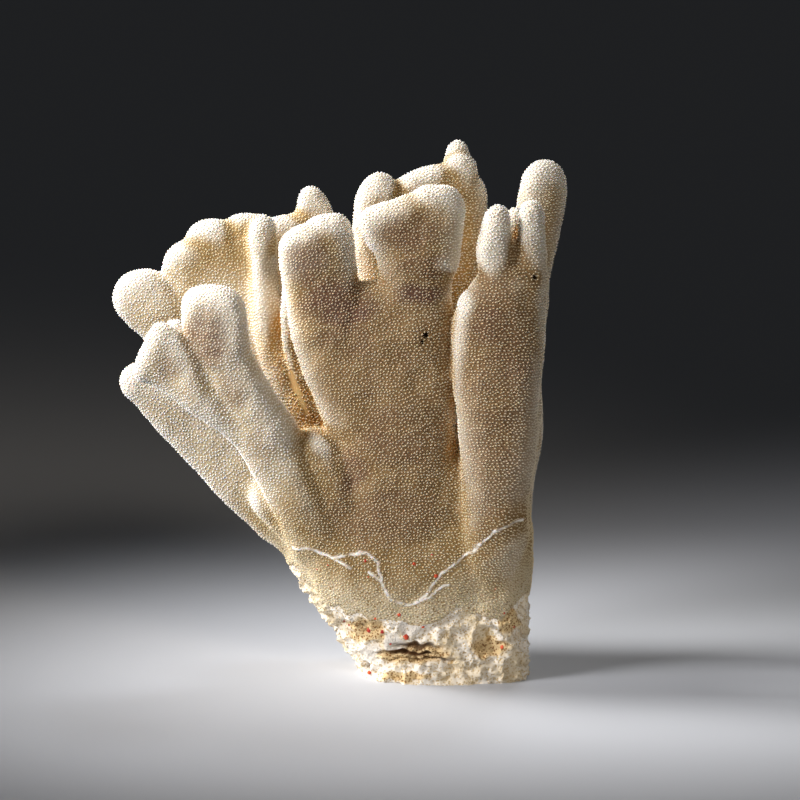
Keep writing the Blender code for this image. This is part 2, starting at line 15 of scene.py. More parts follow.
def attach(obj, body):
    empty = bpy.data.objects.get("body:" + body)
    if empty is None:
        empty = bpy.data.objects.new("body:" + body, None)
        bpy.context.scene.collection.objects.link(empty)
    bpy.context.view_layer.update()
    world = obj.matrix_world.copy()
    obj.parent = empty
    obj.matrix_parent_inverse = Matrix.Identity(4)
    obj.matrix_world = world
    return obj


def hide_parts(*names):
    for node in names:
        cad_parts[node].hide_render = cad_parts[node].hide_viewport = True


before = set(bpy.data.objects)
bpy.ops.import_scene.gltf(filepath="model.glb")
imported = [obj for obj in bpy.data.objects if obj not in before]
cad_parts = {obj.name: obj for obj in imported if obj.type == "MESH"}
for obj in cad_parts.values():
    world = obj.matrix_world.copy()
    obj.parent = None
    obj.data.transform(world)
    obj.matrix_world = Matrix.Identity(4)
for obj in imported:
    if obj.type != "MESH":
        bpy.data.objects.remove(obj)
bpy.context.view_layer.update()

MM = 0.001

# The view that the colony is measured in: across and up are read square to this view, in
# millimetres, from the middle of the foot's front lower edge, and depth is the real Y.
VIEW_TILT = math.radians(10)
VIEW_DISTANCE = 1500
VIEW_CENTRE = (-13.9, 99.3)
FOOT_FRONT = -22
PIXELS_PER_MM = 2.88
FRAME_PIXELS = 800
SENSOR = 36

# How the fingers are run together into one skin, whose cells are halved within the fine band, in
# millimetres, of the seams and of the skin's edge, and near the bored holes.
SKIN_CELL = 1.03 * MM
FINE_BAND = 4
FINE_HOLE_SHARE = 3
SMOOTHING_STEPS = 14
RING_POINTS = 20
SECTION_STEP = 2.5
TIP_SECTIONS = 7
VERY_TIP = 0.003
SECTION_POWER = 2.3

# Lumps of the grown skin: (height, size) in millimetres, from the broad ones to the small ones.
LUMPS = ((0.7, 15), (0.12, 5.5), (0.05, 2.6))
# Rougher kinds of noise: how fast their layers fade and shrink, how many there are, and for
# ridges their offset and gain.
FRACTAL = (noise.fractal, 0.9, 2, 3)
RIDGED = (noise.ridged_multi_fractal, 0.8, 2.2, 3, 0.9, 2)
# Relief of the crusted foot below the skin's edge, written as the lumps are.
CRUST_RELIEF = ((2, 7.5), (0.65, 3), (0.2, 1.1))
SKIN_THICKNESS = 0.5 * MM

# How bends and recesses are found: steps of spreading over the skin, and rays that look for
# branches in front of each of its points.
BEND_STEPS = 30
BEND_SOFTENING = 6
RECESS_SOFTENING = 8
SHELTER_RAYS = 14
SHELTER_SPREAD = 0.9
SHELTER_START = 0.8 * MM
SHELTER_REACH = 45 * MM

# Corallites: the small hooded cups that cover the skin.
CUP_SPACING = 0.91 * MM
CUP_RADIUS = 0.58 * MM
CUP_DENSITY = 6e6
CUP_SIZES = (0.85, 1.12)
CUP_SEED = 7
# The point low inside the colony that all growth leads away from.
GROWTH_START = (-10 * MM, 4 * MM, 10 * MM)
# How far a seam, hole, bare strip or crust has risen where cups thin out, and where none is left.
COVER_ENDS = (0.25, 0.6)
# Low on the colony the cups are wider and their hoods flatter, by these shares of their size.
LOW_GROWTH = (0.25, 0.25, -0.45)

# The skin's lower edge, above the bare crust, as (across, up).
SKIN_EDGE = (
    (-52, 42), (-42, 30), (-33, 25), (-14, 21.5), (-3, 21.5), (6, 26.5), (14, 25.5), (21, 21.5), (30, 33),
)

# How far above that edge the pale net of pits has faded out.
NET_REACH = 18

# Thin raised seams where the colony grew over itself: (across, up) routes.
SEAMS = (
    ((-50.9, 47.8), (-45.1, 47.2), (-39.3, 45.5), (-34.7, 43.2), (-30.7, 40.6)),
    ((-36.8, 44.8), (-31.3, 46.2), (-25.7, 46.2), (-21.5, 43.1), (-20.5, 37.5)),
    ((-24.4, 39.5), (-21.3, 37.4), (-19.5, 34.9), (-17.2, 30.1), (-10.6, 27.8), (-8.2, 28.9)),
    ((-8.2, 28.9), (-2.5, 34.9), (2.3, 40.3), (9.3, 45.5), (18.5, 53), (24.3, 56.5), (28.9, 57.6)),
    ((-8.2, 28.9), (-5, 30.6), (-0.7, 33.1), (3.2, 34.9)),
)
SEAM_HEIGHT = 0.4 * MM
SEAM_WIDTH = 0.66

# Hollows eaten into the foot's front: (across, up, half width, half height, depth).
HOLLOWS = (
    (-8, 13.4, 9, 1.3, 3.5), (-11, 11, 11, 1.1, 4), (-5, 8.8, 12, 0.9, 3), (-26.6, 6.6, 1.5, 1.3, 4),
    (-37, 21, 4, 5, 2), (17, 13, 6, 2.6, 2), (-27, 18, 6, 4.5, 1.6), (4, 5.6, 8, 1.4, 1.6),
)
HOLLOW_DEPTH = 4 * MM

# Ochre stains and chalky smooth patches of the foot: (across, up, half width, half height).
OCHRE_PATCHES = ((-26, 19, 8, 5.5), (-9, 10.5, 14, 4), (17, 13, 8, 4), (24, 22, 4, 6), (-12, 3, 10, 2))
CHALKY_PATCHES = ((-16.5, 14.4, 5, 3.4), (-24, 11, 3.4, 2.6), (-10, 20, 6, 3))

# Fingers that are palest, partly bleached and partly painted light where they face the lamps on the left:
# (across, up, half width, half height).
PALE_AND_LIT_FINGERS = (
    (-104, 140, 17, 18), (-76, 120, 15, 24), (-98, 110, 16, 20), (-82, 84, 26, 26), (-62, 88, 12, 26),
)

# The smooth strip without corallites in the front left valley: its route and half width.
BARE_STRIP = ((-51.2, 107.5), (-49.6, 104), (-47.4, 99.3), (-44, 94.6))
BARE_WIDTH = 2.5

# Dents in the front fingers' faces: (across, up, half width, half height, depth).
DENTS = ((-79, 124, 8, 10, 0.8), (-92, 114, 6, 9, 0.8))
# How far back the front branches, the dents and the bare strip's own wall lie, as the real Y.
FRONT_REACH = 5 * MM
DENT_REACH = -16 * MM
STRIP_REACH = -14 * MM

# Red specks of encrusting growth on the front: (across, up, radius).
RED_SPECKS = (
    (-1.4, 38.2, 0.75), (-9, 42.4, 0.6), (-14.2, 24.7, 0.7), (-11.8, 17, 1.05), (-20.1, 18.8, 0.7),
    (-24.7, 19.4, 0.9), (-26, 43.4, 0.6), (21.5, 13.5, 0.7), (22.2, 25.3, 0.45), (25.7, 20.5, 0.5),
    (-42.7, 40.6, 0.4), (-38.9, 42, 0.4), (-5.9, 20.5, 0.6), (-31.6, 21.2, 0.5), (-24.6, 4.6, 0.7),
    (19.4, 33.7, 0.4), (-2.8, 45.5, 0.4), (-25, 37.8, 0.35), (-22.4, 23.4, 0.5), (-17.2, 14.6, 0.5),
    (-33.3, 22.6, 0.45),
)

# Small holes bored into the front branches: (across, up, radius).
BORED_HOLES = ((-4.9, 121.6, 1), (-5.9, 119.4, 0.6), (33, 141.7, 0.8))
HOLE_DEPTH = 2.2 * MM

# Brown-mauve stains on the front branches: (across, up, half width, half height, strength). The first two,
# broad and weak, darken the whole front faces of the centre palm and the right column, partly as painted
# shade.
STAINS_AND_FRONT_SHADE = (
    (-17, 105, 32, 66, 0.45), (20, 108, 17, 66, 0.6), (-47, 148, 9, 11, 0.8), (-36, 133, 15, 10, 0.95),
    (-32, 120, 12, 9, 0.7), (-6, 146, 13, 5, 0.7), (-7.5, 136, 11, 5, 0.95), (-10, 157, 15, 8, 0.75),
    (-31, 74, 6, 10, 0.8), (-79, 121, 9, 13, 0.75), (-72, 104, 6, 8, 0.4), (-93, 112, 6, 7, 0.4),
    (18, 126, 9, 12, 0.8), (17, 100, 8, 14, 0.6), (19, 160, 4, 5, 0.6), (-13, 86, 22, 18, 0.6),
    (-20, 60, 26, 14, 0.6), (-60, 84, 7, 10, 0.3),
)

# Sizes of the finishes' patterns.
CLOUD_SIZE = 8.33 * MM
PIT_SPACING = 1.205 * MM
GRAIN_SIZE = 0.625 * MM
PATCH_SIZE = 9.09 * MM
PORE_SPACING = 0.87 * MM
SPECK_SHADES = 6.25 * MM

# Soft lights: name, colour, watts, size in metres, spread in degrees, place in metres.
LIGHTS = (
    ("key", "#FFFAF4", 0.33, 0.22, 27, (-0.52, 0.08, 0.5)),
    ("side", "#FFFAF7", 0.27, 0.24, 34, (-0.44, -0.22, 0.28)),
    ("fill", "#FFF0DC", 0.105, 0.4, 22, (0.26, -0.6, 0.48)),
    ("rim", "#FFFFFF", 0.06, 0.3, 22, (0.1, 0.35, 0.75)),
)
LIGHT_AIM = (-20 * MM, 0, 95 * MM)
SURROUND_LIGHT = 0.025
FLOOR_REACH = 6

# The cuts at the forks, the same as the solids'. Each stretch of the colony has the point and the
# normal of the cut that parts it, and what lies below and above that cut.
FORKS = {
    "colony": ((0, 0, 24), (0.1, 0, 1), "reef_foot", "grown part"),
    "grown part": ((-15, 0, 51), (-0.12, 0, 1), "trunk", "branches"),
    "branches": ((0, -8.3, 90), (0, 1, 0.03), "front", "back"),
    "front": ((-44.5, -20, 85), (1, 0, 0.246), "left_front_paw", "front right"),
    "front right": ((4.6, -20, 90), (1, -0.8, -0.09), "centre_front_paw", "right_front_column"),
    "back": ((17.5, 12, 118), (1, 0, -0.055), "back left", "back right"),
    "back left": ((-31, 20, 100), (1, 0, 0.05), "far left", "back middle"),
    "far left": ((-45, 33, 76), (0, 1, -0.2), "left fans", "rear_left_paw"),
    "left fans": ((-78, 5, 93.7), (0.73, 0, 1), "low_left_fin", "upper fans"),
    "upper fans": ((-60, 20, 100), (0, 1, -0.04), "left_rear_fan", "rear_finger_fan"),
    "back middle": ((-5, 26.5, 74), (0, 1, -0.17), "rear_centre_paw", "rear_low_paw"),
    "back right": ((25, 20.5, 80), (0, 1, -0.1), "right_rear_column", "rear_right_finger"),
}
CUT_TOLERANCE = 1e-7


def place(across, up, depth):
    """The point, in metres, that stands at (across, up) in the measured view and at Y = depth."""
    behind = depth - FOOT_FRONT
    off_across = across - VIEW_CENTRE[0]
    off_up = up - VIEW_CENTRE[1]
    height = (
        VIEW_CENTRE[1]
        + off_up * (1 + behind * math.cos(VIEW_TILT) / VIEW_DISTANCE)
        - behind * math.sin(VIEW_TILT)
    ) / (math.cos(VIEW_TILT) + off_up * math.sin(VIEW_TILT) / VIEW_DISTANCE)
    away = behind * math.cos(VIEW_TILT) - height * math.sin(VIEW_TILT)
    x = VIEW_CENTRE[0] + off_across * (1 + away / VIEW_DISTANCE)
    return Vector((x, depth, height)) * MM


def catmull_rom(a, b, c, d, t):
    """The value at share t of the way from b to c on a smooth curve through a, b, c and d."""
    return 0.5 * (
        2 * b
        + (c - a) * t
        + (2 * a - 5 * b + 4 * c - d) * t**2
        + (3 * b - a - 3 * c + d) * t**3
    )


def stations_along(stations):
    """Sections read off a smooth curve through the stations: (centre, half width, half depth)."""
    points = [(place(*s[:3]), s[3] * MM, s[4] * MM) for s in stations]
    ends = [points[0], *points, points[-1]]
    found = []
    for a, b, c, d in zip(ends, ends[1:], ends[2:], ends[3:]):
        steps = max(2, round((c[0] - b[0]).length / (SECTION_STEP * MM)))
        for i in range(steps):
            found.append([catmull_rom(*(p[k] for p in (a, b, c, d)), i / steps) for k in range(3)])
    return [*found, list(points[-1])]


def rounding(left, reach, power):
    """How much of its full size a section has when only `left` of the finger remains."""
    if left >= reach:
        return 1.0
    return max(0.0, 1 - (1 - left / reach) ** power) ** (1 / power)


def tip_sections(sections, reach):
    """The sections with those in the last `reach` set closer and closer, so that the tip is round."""
    lengths = [0.0]
    for a, b in zip(sections, sections[1:]):
        lengths.append(lengths[-1] + (b[0] - a[0]).length)
    total = lengths[-1]
    wanted = [s for s in lengths if s < total - reach]
    wanted += [
        total - reach * (1 - math.sin(math.pi / 2 * i / TIP_SECTIONS)) for i in range(TIP_SECTIONS)
    ]
    wanted.append(total - reach * VERY_TIP)
    found = []
    for s in wanted:
        s = max(s, 0.0)
        i = max(k for k in range(len(lengths) - 1) if lengths[k] <= s)
        share = (s - lengths[i]) / (lengths[i + 1] - lengths[i])
        a, b = sections[i], sections[i + 1]
        found.append([total - s, *(p + (q - p) * share for p, q in zip(a, b))])
    return found


def finger(bm, stations, facing=0, blunt=1.0, power=2.2, buried=False):
    """Adds one closed, flattened finger. Each station is (across, up, depth, half width, half
    depth) in millimetres, and the last one is the very tip. Facing turns the flat side about Z.
    A buried tip also thins towards its end, so that it runs out inside the fingers above it."""
    turned = math.radians(facing)
    flat = Vector((math.sin(turned), -math.cos(turned), 0))
    reach = stations[-1][3] * blunt * MM
    sections = tip_sections(stations_along(stations), reach)
    rings = []
    for i, (left, centre, half_width, half_depth) in enumerate(sections):
        before = sections[max(i - 1, 0)][1]
        after = sections[min(i + 1, len(sections) - 1)][1]
        along = (after - before).normalized()
        wide = along.cross(flat).normalized()
        deep = wide.cross(along).normalized()
        half_width *= rounding(left, reach, power)
        half_depth *= rounding(left, reach if buried else min(half_depth, reach), 2)
        ring = []
        for k in range(RING_POINTS):
            angle = math.tau * k / RING_POINTS
            cos, sin = math.cos(angle), math.sin(angle)
            w = math.copysign(abs(cos) ** (2 / SECTION_POWER), cos) * half_width
            d = math.copysign(abs(sin) ** (2 / SECTION_POWER), sin) * half_depth
            ring.append(bm.verts.new(centre + wide * w + deep * d))
        rings.append(ring)
    sides = []
    for low, high in zip(rings, rings[1:]):
        for k in range(RING_POINTS):
            n = (k + 1) % RING_POINTS
            sides.append(bm.faces.new((low[k], low[n], high[n], high[k])))
    sides.append(bm.faces.new(rings[0][::-1]))
    sides.append(bm.faces.new(rings[-1]))
    bmesh.ops.recalc_face_normals(bm, faces=sides)


def trunk_and_foot(bm):
    """The crusted foot, which the cut passes through, and the trunk that widens above it."""
    foot = [
        (1.8, -12, -1, 29.8, 21), (1.2, 0, 0, 30.4, 22), (0.2, 14, 1, 30.8, 22.5), (-5, 30, 2, 34, 22.5),
        (-10, 42, 3, 38.5, 21), (-13, 56, 3, 40, 18), (-15, 74, 2, 34, 12),
    ]
    finger(bm, foot, blunt=0.9, buried=True)
    heel = [(-5, -8, 11, 24, 14), (-4.6, 12, 12, 24.8, 15), (-11, 30, 13, 30, 15), (-12, 52, 14, 30, 12)]
    finger(bm, heel, facing=-10, blunt=0.8, buried=True)
    apron = [
        (0, 12, -6, 24, 13), (-6, 32, -8, 32, 14.5), (-11, 48, -10, 36, 15), (-16, 64, -12, 36, 14),
        (-20, 80, -14, 30, 11), (-23, 94, -16, 20, 8),
    ]
    finger(bm, apron, blunt=1.2, buried=True)
    left = [(-14, 25, 2, 21, 16), (-23, 38, 1, 23.5, 17), (-33.4, 52, 0, 22.8, 14.5), (-44, 66, -2, 18, 11)]
    finger(bm, left, facing=-6, buried=True)
    right = [
        (17.5, -10, -5, 14, 14), (17, 20, -5, 14.5, 14.5), (17, 40, -6, 15, 15),
        (18.5, 54, -10, 13.5, 14), (19, 74, -14, 11, 10),
    ]
    finger(bm, right, buried=True)
    knob = [(-40, 52, -5, 12, 11), (-53, 61, -7, 9, 9), (-65, 70.5, -8, 6, 6)]
    finger(bm, knob)
    web = [(-28, 46, -11, 15, 12), (-37, 64, -16, 13, 9.6), (-42.5, 78, -18, 11, 8), (-44, 89, -18.5, 8, 7)]
    finger(bm, web, facing=-8, blunt=0.8)


def centre_front_paw(bm):
    """The broad palm in front, with a slanting left finger and a flared right one."""
    palm = [
        (-13, 26, -2, 18, 8), (-14, 54, -13, 22, 12), (-15.5, 78, -18, 20, 9.6),
        (-17.5, 98, -20, 20.5, 8.2), (-20, 116, -21, 22, 7.4), (-22, 128, -21, 22, 7),
        (-23.5, 141, -21, 17, 6.2),
    ]
    finger(bm, palm, blunt=0.9, buried=True)
    left = [
        (-16, 66, -14, 9, 6), (-26, 90, -19, 12, 7.8), (-33, 106, -20.5, 12.2, 7.4),
        (-38.3, 122, -21, 12.8, 7.2), (-40.7, 137, -21, 13, 7), (-43.4, 147, -22, 12.2, 6.6),
        (-44.8, 153.6, -22, 11, 6.2), (-47, 160.4, -22, 9.4, 5.6),
    ]
    finger(bm, left, facing=-6, blunt=0.5, power=3)
    peak = [(-36, 132, -21, 8, 6.6), (-37.8, 149, -22, 8.2, 6.2), (-39.4, 163.7, -22, 7, 5.6)]
    finger(bm, peak, blunt=0.6, power=2.8)
    right = [
        (-7.4, 62, -12, 9.4, 6), (-7.8, 90, -18, 13.2, 8), (-8.2, 122, -21, 13, 7.2),
        (-8.2, 138, -21.5, 12.6, 7), (-8, 147, -22, 13.4, 6.8), (-8.6, 156, -22.5, 16.2, 6.4),
        (-12.6, 170, -23, 18.6, 6),
    ]
    finger(bm, right, facing=5, blunt=0.36, power=3.8)
    corner = [(-3.5, 146, -22, 9.5, 6.6), (-1.6, 160, -23, 10, 6.3), (-0.8, 173.8, -23, 9.4, 5.8)]
    finger(bm, corner, blunt=0.9, power=2.5)
    pocket_rim = [(-35.6, 86, -10, 3.4, 3.4), (-37, 91, -13.5, 3.2, 3.2), (-37.8, 95, -15, 2.4, 2.6)]
    finger(bm, pocket_rim)


def right_front_column(bm):
    """The upright column on the right, with a shoulder and two slim fingers."""
    column = [
        (17.5, 26, -5, 9, 8), (19, 52, -17.5, 11.6, 11), (19.2, 66, -22, 11.6, 10),
        (20, 82, -25, 12.8, 9), (20.3, 105, -26.5, 14.4, 8.4), (20.4, 120, -26.5, 14.6, 8),
        (21.5, 131, -26.5, 13.8, 7.6), (24.6, 141, -26.5, 10.8, 7.2), (25.4, 149, -26.5, 9.6, 6.6),
    ]
    finger(bm, column, blunt=0.8, power=2.3, buried=True)
    shoulder = [(14.6, 100, -26, 9, 6.8), (12.4, 120, -27, 8, 6.6), (12.2, 138, -27, 5.8, 6)]
    finger(bm, shoulder, power=2.3)
    left = [
        (17, 116, -26, 8, 6.8), (20.4, 138, -27, 6.2, 6.4), (19, 151, -28, 6.1, 6),
        (19.5, 159, -28.5, 5, 5.4), (20.6, 167, -28.5, 4, 5),
    ]
    finger(bm, left, blunt=1.5)
    right = [
        (28, 118, -25, 8, 7), (30.8, 138, -26, 6.4, 6.4), (31.8, 152, -26.5, 5.2, 5.6),
        (32, 160, -26.5, 4.6, 5.2), (31.7, 169, -26.5, 3.8, 4.8),
    ]
    finger(bm, right, blunt=1.5)
    bud = [(25, 136, -20, 5, 4.4), (26, 154, -18, 4, 3.8), (26.3, 166.6, -16, 3.4, 3.6)]
    finger(bm, bud)


def left_front_paw(bm):
    """The paw that leans to the left in front, with a thick right finger and a folded left one."""
    palm = [
        (-24, 34, -2, 13, 9), (-38, 52, -10, 15, 12), (-48, 67, -16, 11.6, 11), (-57, 81, -19.5, 10.2, 9),
        (-64, 92, -21, 9.2, 7.6), (-70, 101, -21, 7, 6.6),
    ]
    finger(bm, palm, facing=-22, buried=True)
    right = [
        (-44, 62, -13, 7, 7), (-57, 83, -20, 9.6, 8.4), (-65.7, 99, -23, 8.8, 7.6),
        (-73.2, 111.5, -24, 9, 7.2), (-77, 121.5, -24.5, 11, 7.2), (-78.2, 130, -24.5, 11.8, 7),
        (-78, 139, -24, 10.4, 6.4),
    ]
    finger(bm, right, facing=-22, blunt=0.75, power=2.4)
    left = [
        (-54, 76, -15, 6, 6), (-67, 89, -19, 6, 7), (-77, 96.5, -21, 6.2, 7), (-85, 103, -22, 7.6, 6.4),
        (-91, 109, -22.5, 9.8, 5.6), (-97.2, 114.6, -22.5, 11.6, 5), (-103.8, 117.8, -22, 11.6, 4.4),
    ]
    finger(bm, left, facing=-36, blunt=0.34, power=3)
    fold = [(-82, 101, -15, 6, 4), (-88.5, 112, -13, 5.6, 3.6), (-93, 127.6, -12, 4.4, 3.2)]
    finger(bm, fold, facing=-30)


def low_left_fin(bm):
    """The long fin that runs out low on the left, behind the left front paw."""
    fin = [
        (-30, 46, 2, 12, 10), (-46, 59, 2, 16, 11), (-62, 70, 1.5, 14.2, 9), (-79, 84, 1, 11, 7.4),
        (-92, 95, 0.5, 9.4, 6.6), (-100.5, 103, 0.5, 7.6, 6.2), (-110.4, 108.6, 0.5, 6.2, 5.6),
    ]
    finger(bm, fin, facing=-20)


def left_rear_fan(bm):
    """The wide fan behind the left front paw: one finger low on the left, a scalloped crest, and
    a right edge that folds forward into a plate seen edge on."""
    palm = [
        (-38, 52, 5, 16, 11), (-50, 76, 7, 18, 9.5), (-59, 98, 9, 18.5, 8.2), (-66, 116, 10, 19, 7.4),
        (-72, 132, 10, 20, 7), (-75, 145, 10, 19, 6.4), (-76, 156, 10, 16, 5.8),
    ]
    finger(bm, palm, facing=-16, blunt=0.9, power=2.5)
    crest = (
        [(-70, 112, 10, 12, 7), (-81.5, 136, 10, 12.8, 6.4), (-88, 155.4, 10, 10.8, 5.8)],
        [(-68, 122, 10, 14, 7), (-77, 146, 9.5, 11, 6.4), (-81.4, 162, 9.5, 8, 5.6)],
        [(-62, 122, 10, 12, 7), (-66.4, 147, 9.5, 9.6, 6.4), (-67.6, 164.2, 9, 8.4, 5.6)],
    )
    for stations in crest:
        finger(bm, stations, facing=-16, blunt=0.9, power=2.4)
    outer = [
        (-56, 88, 10, 12, 8.5), (-75, 109, 12, 11.6, 7.6), (-91, 123.5, 12.5, 11, 7),
        (-100.5, 132.5, 12.5, 11, 6.8), (-110.8, 141.4, 12.5, 10, 6.2),
    ]
    finger(bm, outer, facing=-20)
    plate = [
        (-34, 60, 4, 13, 9), (-40, 76, 6, 13, 8), (-47, 92, 6, 13, 6.8), (-54, 110, 6, 12.6, 5.8),
        (-59, 128, 6, 12.2, 5.2), (-61.5, 146, 7, 11.2, 4.7), (-61.8, 163.6, 8, 9.5, 4.4),
    ]
    finger(bm, plate, facing=84, blunt=0.8)
    face = [
        (-38, 74, -9, 10, 8), (-43.5, 88, -7, 9, 7.4), (-48.5, 98, -4.5, 8.6, 7),
        (-53.5, 109, -2, 8, 6.4), (-57.6, 121, 0, 7, 6), (-60.4, 135, 1, 5.6, 5.6),
        (-61.6, 152, 3, 4.6, 5.4),
    ]
    finger(bm, face, facing=-24)
    strip = [
        (-33, 78, -8, 5, 7), (-37, 90, -9, 6, 7), (-41, 99, -9.5, 6.2, 7), (-45, 108, -9.5, 5.8, 6.6),
        (-48.6, 117, -9.5, 5.2, 6.2), (-51.4, 128, -9, 3.2, 5), (-52.6, 141, -6, 1.6, 3.6),
    ]
    finger(bm, strip, facing=-20)


def rear_finger_fan(bm):
    """The fan behind the folded plate, which carries one pointed finger."""
    fan = [
        (-32, 56, 16, 15, 11), (-40, 84, 25, 14, 8.8), (-47, 112, 29, 14.5, 7.6), (-51, 140, 30, 14, 6.8),
        (-56, 163, 31, 11.6, 5.8),
    ]
    finger(bm, fan, facing=8, blunt=0.8, power=2.5)
    pointed = [
        (-43.5, 134, 31, 9, 6.5), (-43, 154, 33, 7.8, 5.8), (-43.4, 163.6, 33, 6.8, 5.2),
        (-45, 169.4, 33, 5, 4.4), (-46.8, 173, 33, 3, 3.4),
    ]
    finger(bm, pointed, facing=5)


def rear_centre_paw(bm):
    """The tall fan behind the centre, with four fingers and a curved right side."""
    palm = [
        (-9, 48, 10, 22, 12), (-9, 80, 16, 22, 9.5), (-9, 110, 19, 21.5, 8), (-9, 135, 20, 21, 7.2),
        (-8.5, 152, 21, 20, 6.8), (-8, 172, 21, 16, 6.2),
    ]
    finger(bm, palm, facing=-4, blunt=0.9, power=2.4, buried=True)
    left = [
        (-19, 120, 19, 9, 7), (-22, 150, 20, 8, 6.2), (-22, 166, 20, 7.6, 5.8), (-20, 178.2, 20, 6, 5.2),
    ]
    finger(bm, left, blunt=1.5)
    middle = [(-5, 136, 21, 11, 6.8), (-2, 160, 21, 10.6, 6.2), (-7.8, 179.4, 22, 10.4, 5.6)]
    finger(bm, middle, blunt=0.5, power=2.6)
    right = [(1, 136, 22, 10, 6.8), (5, 164, 23, 8.4, 6.2), (7.6, 184.8, 24, 5.4, 5.2)]
    finger(bm, right, blunt=0.9)
    spur = [
        (4.4, 134, 21, 6, 4), (5, 156, 25.6, 7, 5.6), (6.2, 176, 29, 5.2, 4.8),
        (5.9, 189.6, 29, 3.4, 3.3),
    ]
    finger(bm, spur)
    side = [
        (2, 52, 10, 12, 11), (5.5, 86, 15, 10, 8.8), (8, 122, 20, 8.6, 7.4), (9.2, 150, 23, 7.6, 6.8),
        (9.4, 164, 24, 7, 6.4), (10.6, 178, 25, 5.6, 5.4),
    ]
    finger(bm, side, facing=25)


def right_rear_column(bm):
    """The tall column behind the right front one, which bends out to a round tip."""
    column = [
        (17, 42, 3, 13, 12), (22.5, 70, 7, 10, 9.4), (25.6, 92, 9, 8.8, 8.2), (27.3, 118, 10, 8.6, 7.4),
        (29, 132, 10, 8.4, 7), (31.2, 147, 10, 8.3, 6.6), (33.6, 159, 10, 8.2, 6.4),
        (35.6, 170, 10, 8.2, 6.2), (36.4, 183, 10, 7.9, 6),
    ]
    finger(bm, column, facing=20, blunt=1.4, power=2.1)


def rear_low_paw(bm):
    """A shorter paw low on the back, with two fingers."""
    palm = [(-4, 36, 6, 22, 12), (-4, 60, 26, 18, 10), (-3, 82, 36, 16, 8.4), (-3, 102, 41, 15, 7)]
    finger(bm, palm, facing=4, blunt=0.8, buried=True)
    left = [(-9, 76, 34, 9.5, 7.6), (-14, 104, 41, 9.2, 6.8), (-16, 130, 46, 8, 6)]
    finger(bm, left, facing=-16)
    right = [(2, 76, 34, 9, 7.6), (4, 110, 42, 9, 6.8), (4, 141, 46, 8, 6)]
    finger(bm, right, facing=18)


def rear_left_paw(bm):
    """A leaning paw on the back's other side, with two fingers."""
    palm = [(-24, 38, 10, 17, 12), (-36, 60, 28, 14, 10), (-46, 78, 38, 12.5, 8.4), (-54, 93, 43, 11, 7)]
    finger(bm, palm, facing=-26, blunt=0.8, buried=True)
    outer = [(-44, 74, 36, 8.6, 7.4), (-57, 96, 45, 7.6, 6.4), (-66, 111, 49, 6.4, 5.6)]
    finger(bm, outer, facing=-30)
    inner = [(-42, 74, 36, 8.5, 7.4), (-48.5, 104, 45, 7.8, 6.4), (-50.5, 127, 49, 6.4, 5.6)]
    finger(bm, inner, facing=-30)


def rear_right_finger(bm):
    """A single stout finger low on the back at the right."""
    stations = [(12, 36, 6, 13, 12), (21, 62, 24, 10, 9.4), (26, 86, 33, 9.6, 8.2), (27, 116, 37, 8.4, 7)]
    finger(bm, stations, facing=40)


FINGER_GROUPS = (
    trunk_and_foot, centre_front_paw, right_front_column, left_front_paw, low_left_fin,
    left_rear_fan, rear_finger_fan, rear_centre_paw, right_rear_column, rear_low_paw,
    rear_left_paw, rear_right_finger,
)


def eased(low, high, value):
    """0 below low, 1 above high, and a smooth rise between them; arrays are welcome."""
    share = np.clip((value - low) / (high - low), 0, 1)
    return share * share * (3 - 2 * share)


def seen_at(points):
    """Where points are in the measured view, as arrays of across and up."""
    x, y, z = (points / MM).T
    behind = y - FOOT_FRONT
    away = behind * math.cos(VIEW_TILT) - z * math.sin(VIEW_TILT)
    scale = 1 + away / VIEW_DISTANCE
    rise = z * math.cos(VIEW_TILT) + behind * math.sin(VIEW_TILT)
    across = VIEW_CENTRE[0] + (x - VIEW_CENTRE[0]) / scale
    return across, VIEW_CENTRE[1] + (rise - VIEW_CENTRE[1]) / scale


def view_axes():
    """Right, up and forward as the measured view has them."""
    right = Vector((1, 0, 0))
    up = Vector((0, math.sin(VIEW_TILT), math.cos(VIEW_TILT)))
    forward = Vector((0, math.cos(VIEW_TILT), -math.sin(VIEW_TILT)))
    return right, up, forward


def on_view_plane(across, up):
    """The point of the plane through the foot's front edge that is seen at (across, up)."""
    right, up_axis, _ = view_axes()
    return (Vector((0, FOOT_FRONT, 0)) + right * across + up_axis * up) * MM


def eye_point():
    """Where the camera stands."""
    return on_view_plane(*VIEW_CENTRE) - view_axes()[2] * VIEW_DISTANCE * MM


def distance_to(route, across, up):
    """How far places in the view are from a route of (across, up) points."""
    nearest = np.full(len(across), np.inf)
    for (x0, z0), (x1, z1) in zip(route, route[1:]):
        run = (x1 - x0) ** 2 + (z1 - z0) ** 2
        share = np.clip(((across - x0) * (x1 - x0) + (up - z0) * (z1 - z0)) / run, 0, 1)
        gap = np.hypot(across - x0 - share * (x1 - x0), up - z0 - share * (z1 - z0))
        nearest = np.minimum(nearest, gap)
    return nearest


def oval(across, up, x, z, half_width, half_height):
    """1 in the middle of an oval of the view, 0 outside it."""
    share = ((across - x) / half_width) ** 2 + ((up - z) / half_height) ** 2
    return 1 - eased(0.05, 1.6, share)


def strongest_oval(across, up, ovals):
    """The strongest of some ovals of the view; a fifth number is an oval's own strength."""
    found = np.zeros(len(across))
    for x, z, half_width, half_height, *strength in ovals:
        spot = oval(across, up, x, z, half_width, half_height)
        found = np.maximum(found, spot * (strength[0] if strength else 1))
    return found


def pressed_in(across, up, ovals):
    """How deep, in metres, ovals of the view are pressed in; each ends with its depth."""
    return sum(depth * MM * oval(across, up, *shape) for *shape, depth in ovals)


def noise_at(points, size, kind=noise.noise, *roughness):
    """Noise with lumps of a real size."""
    return np.array([kind(Vector(p), *roughness) for p in points / size])


def new_object(name, data):
    obj = bpy.data.objects.new(name, data)
    bpy.context.scene.collection.objects.link(obj)
    return obj


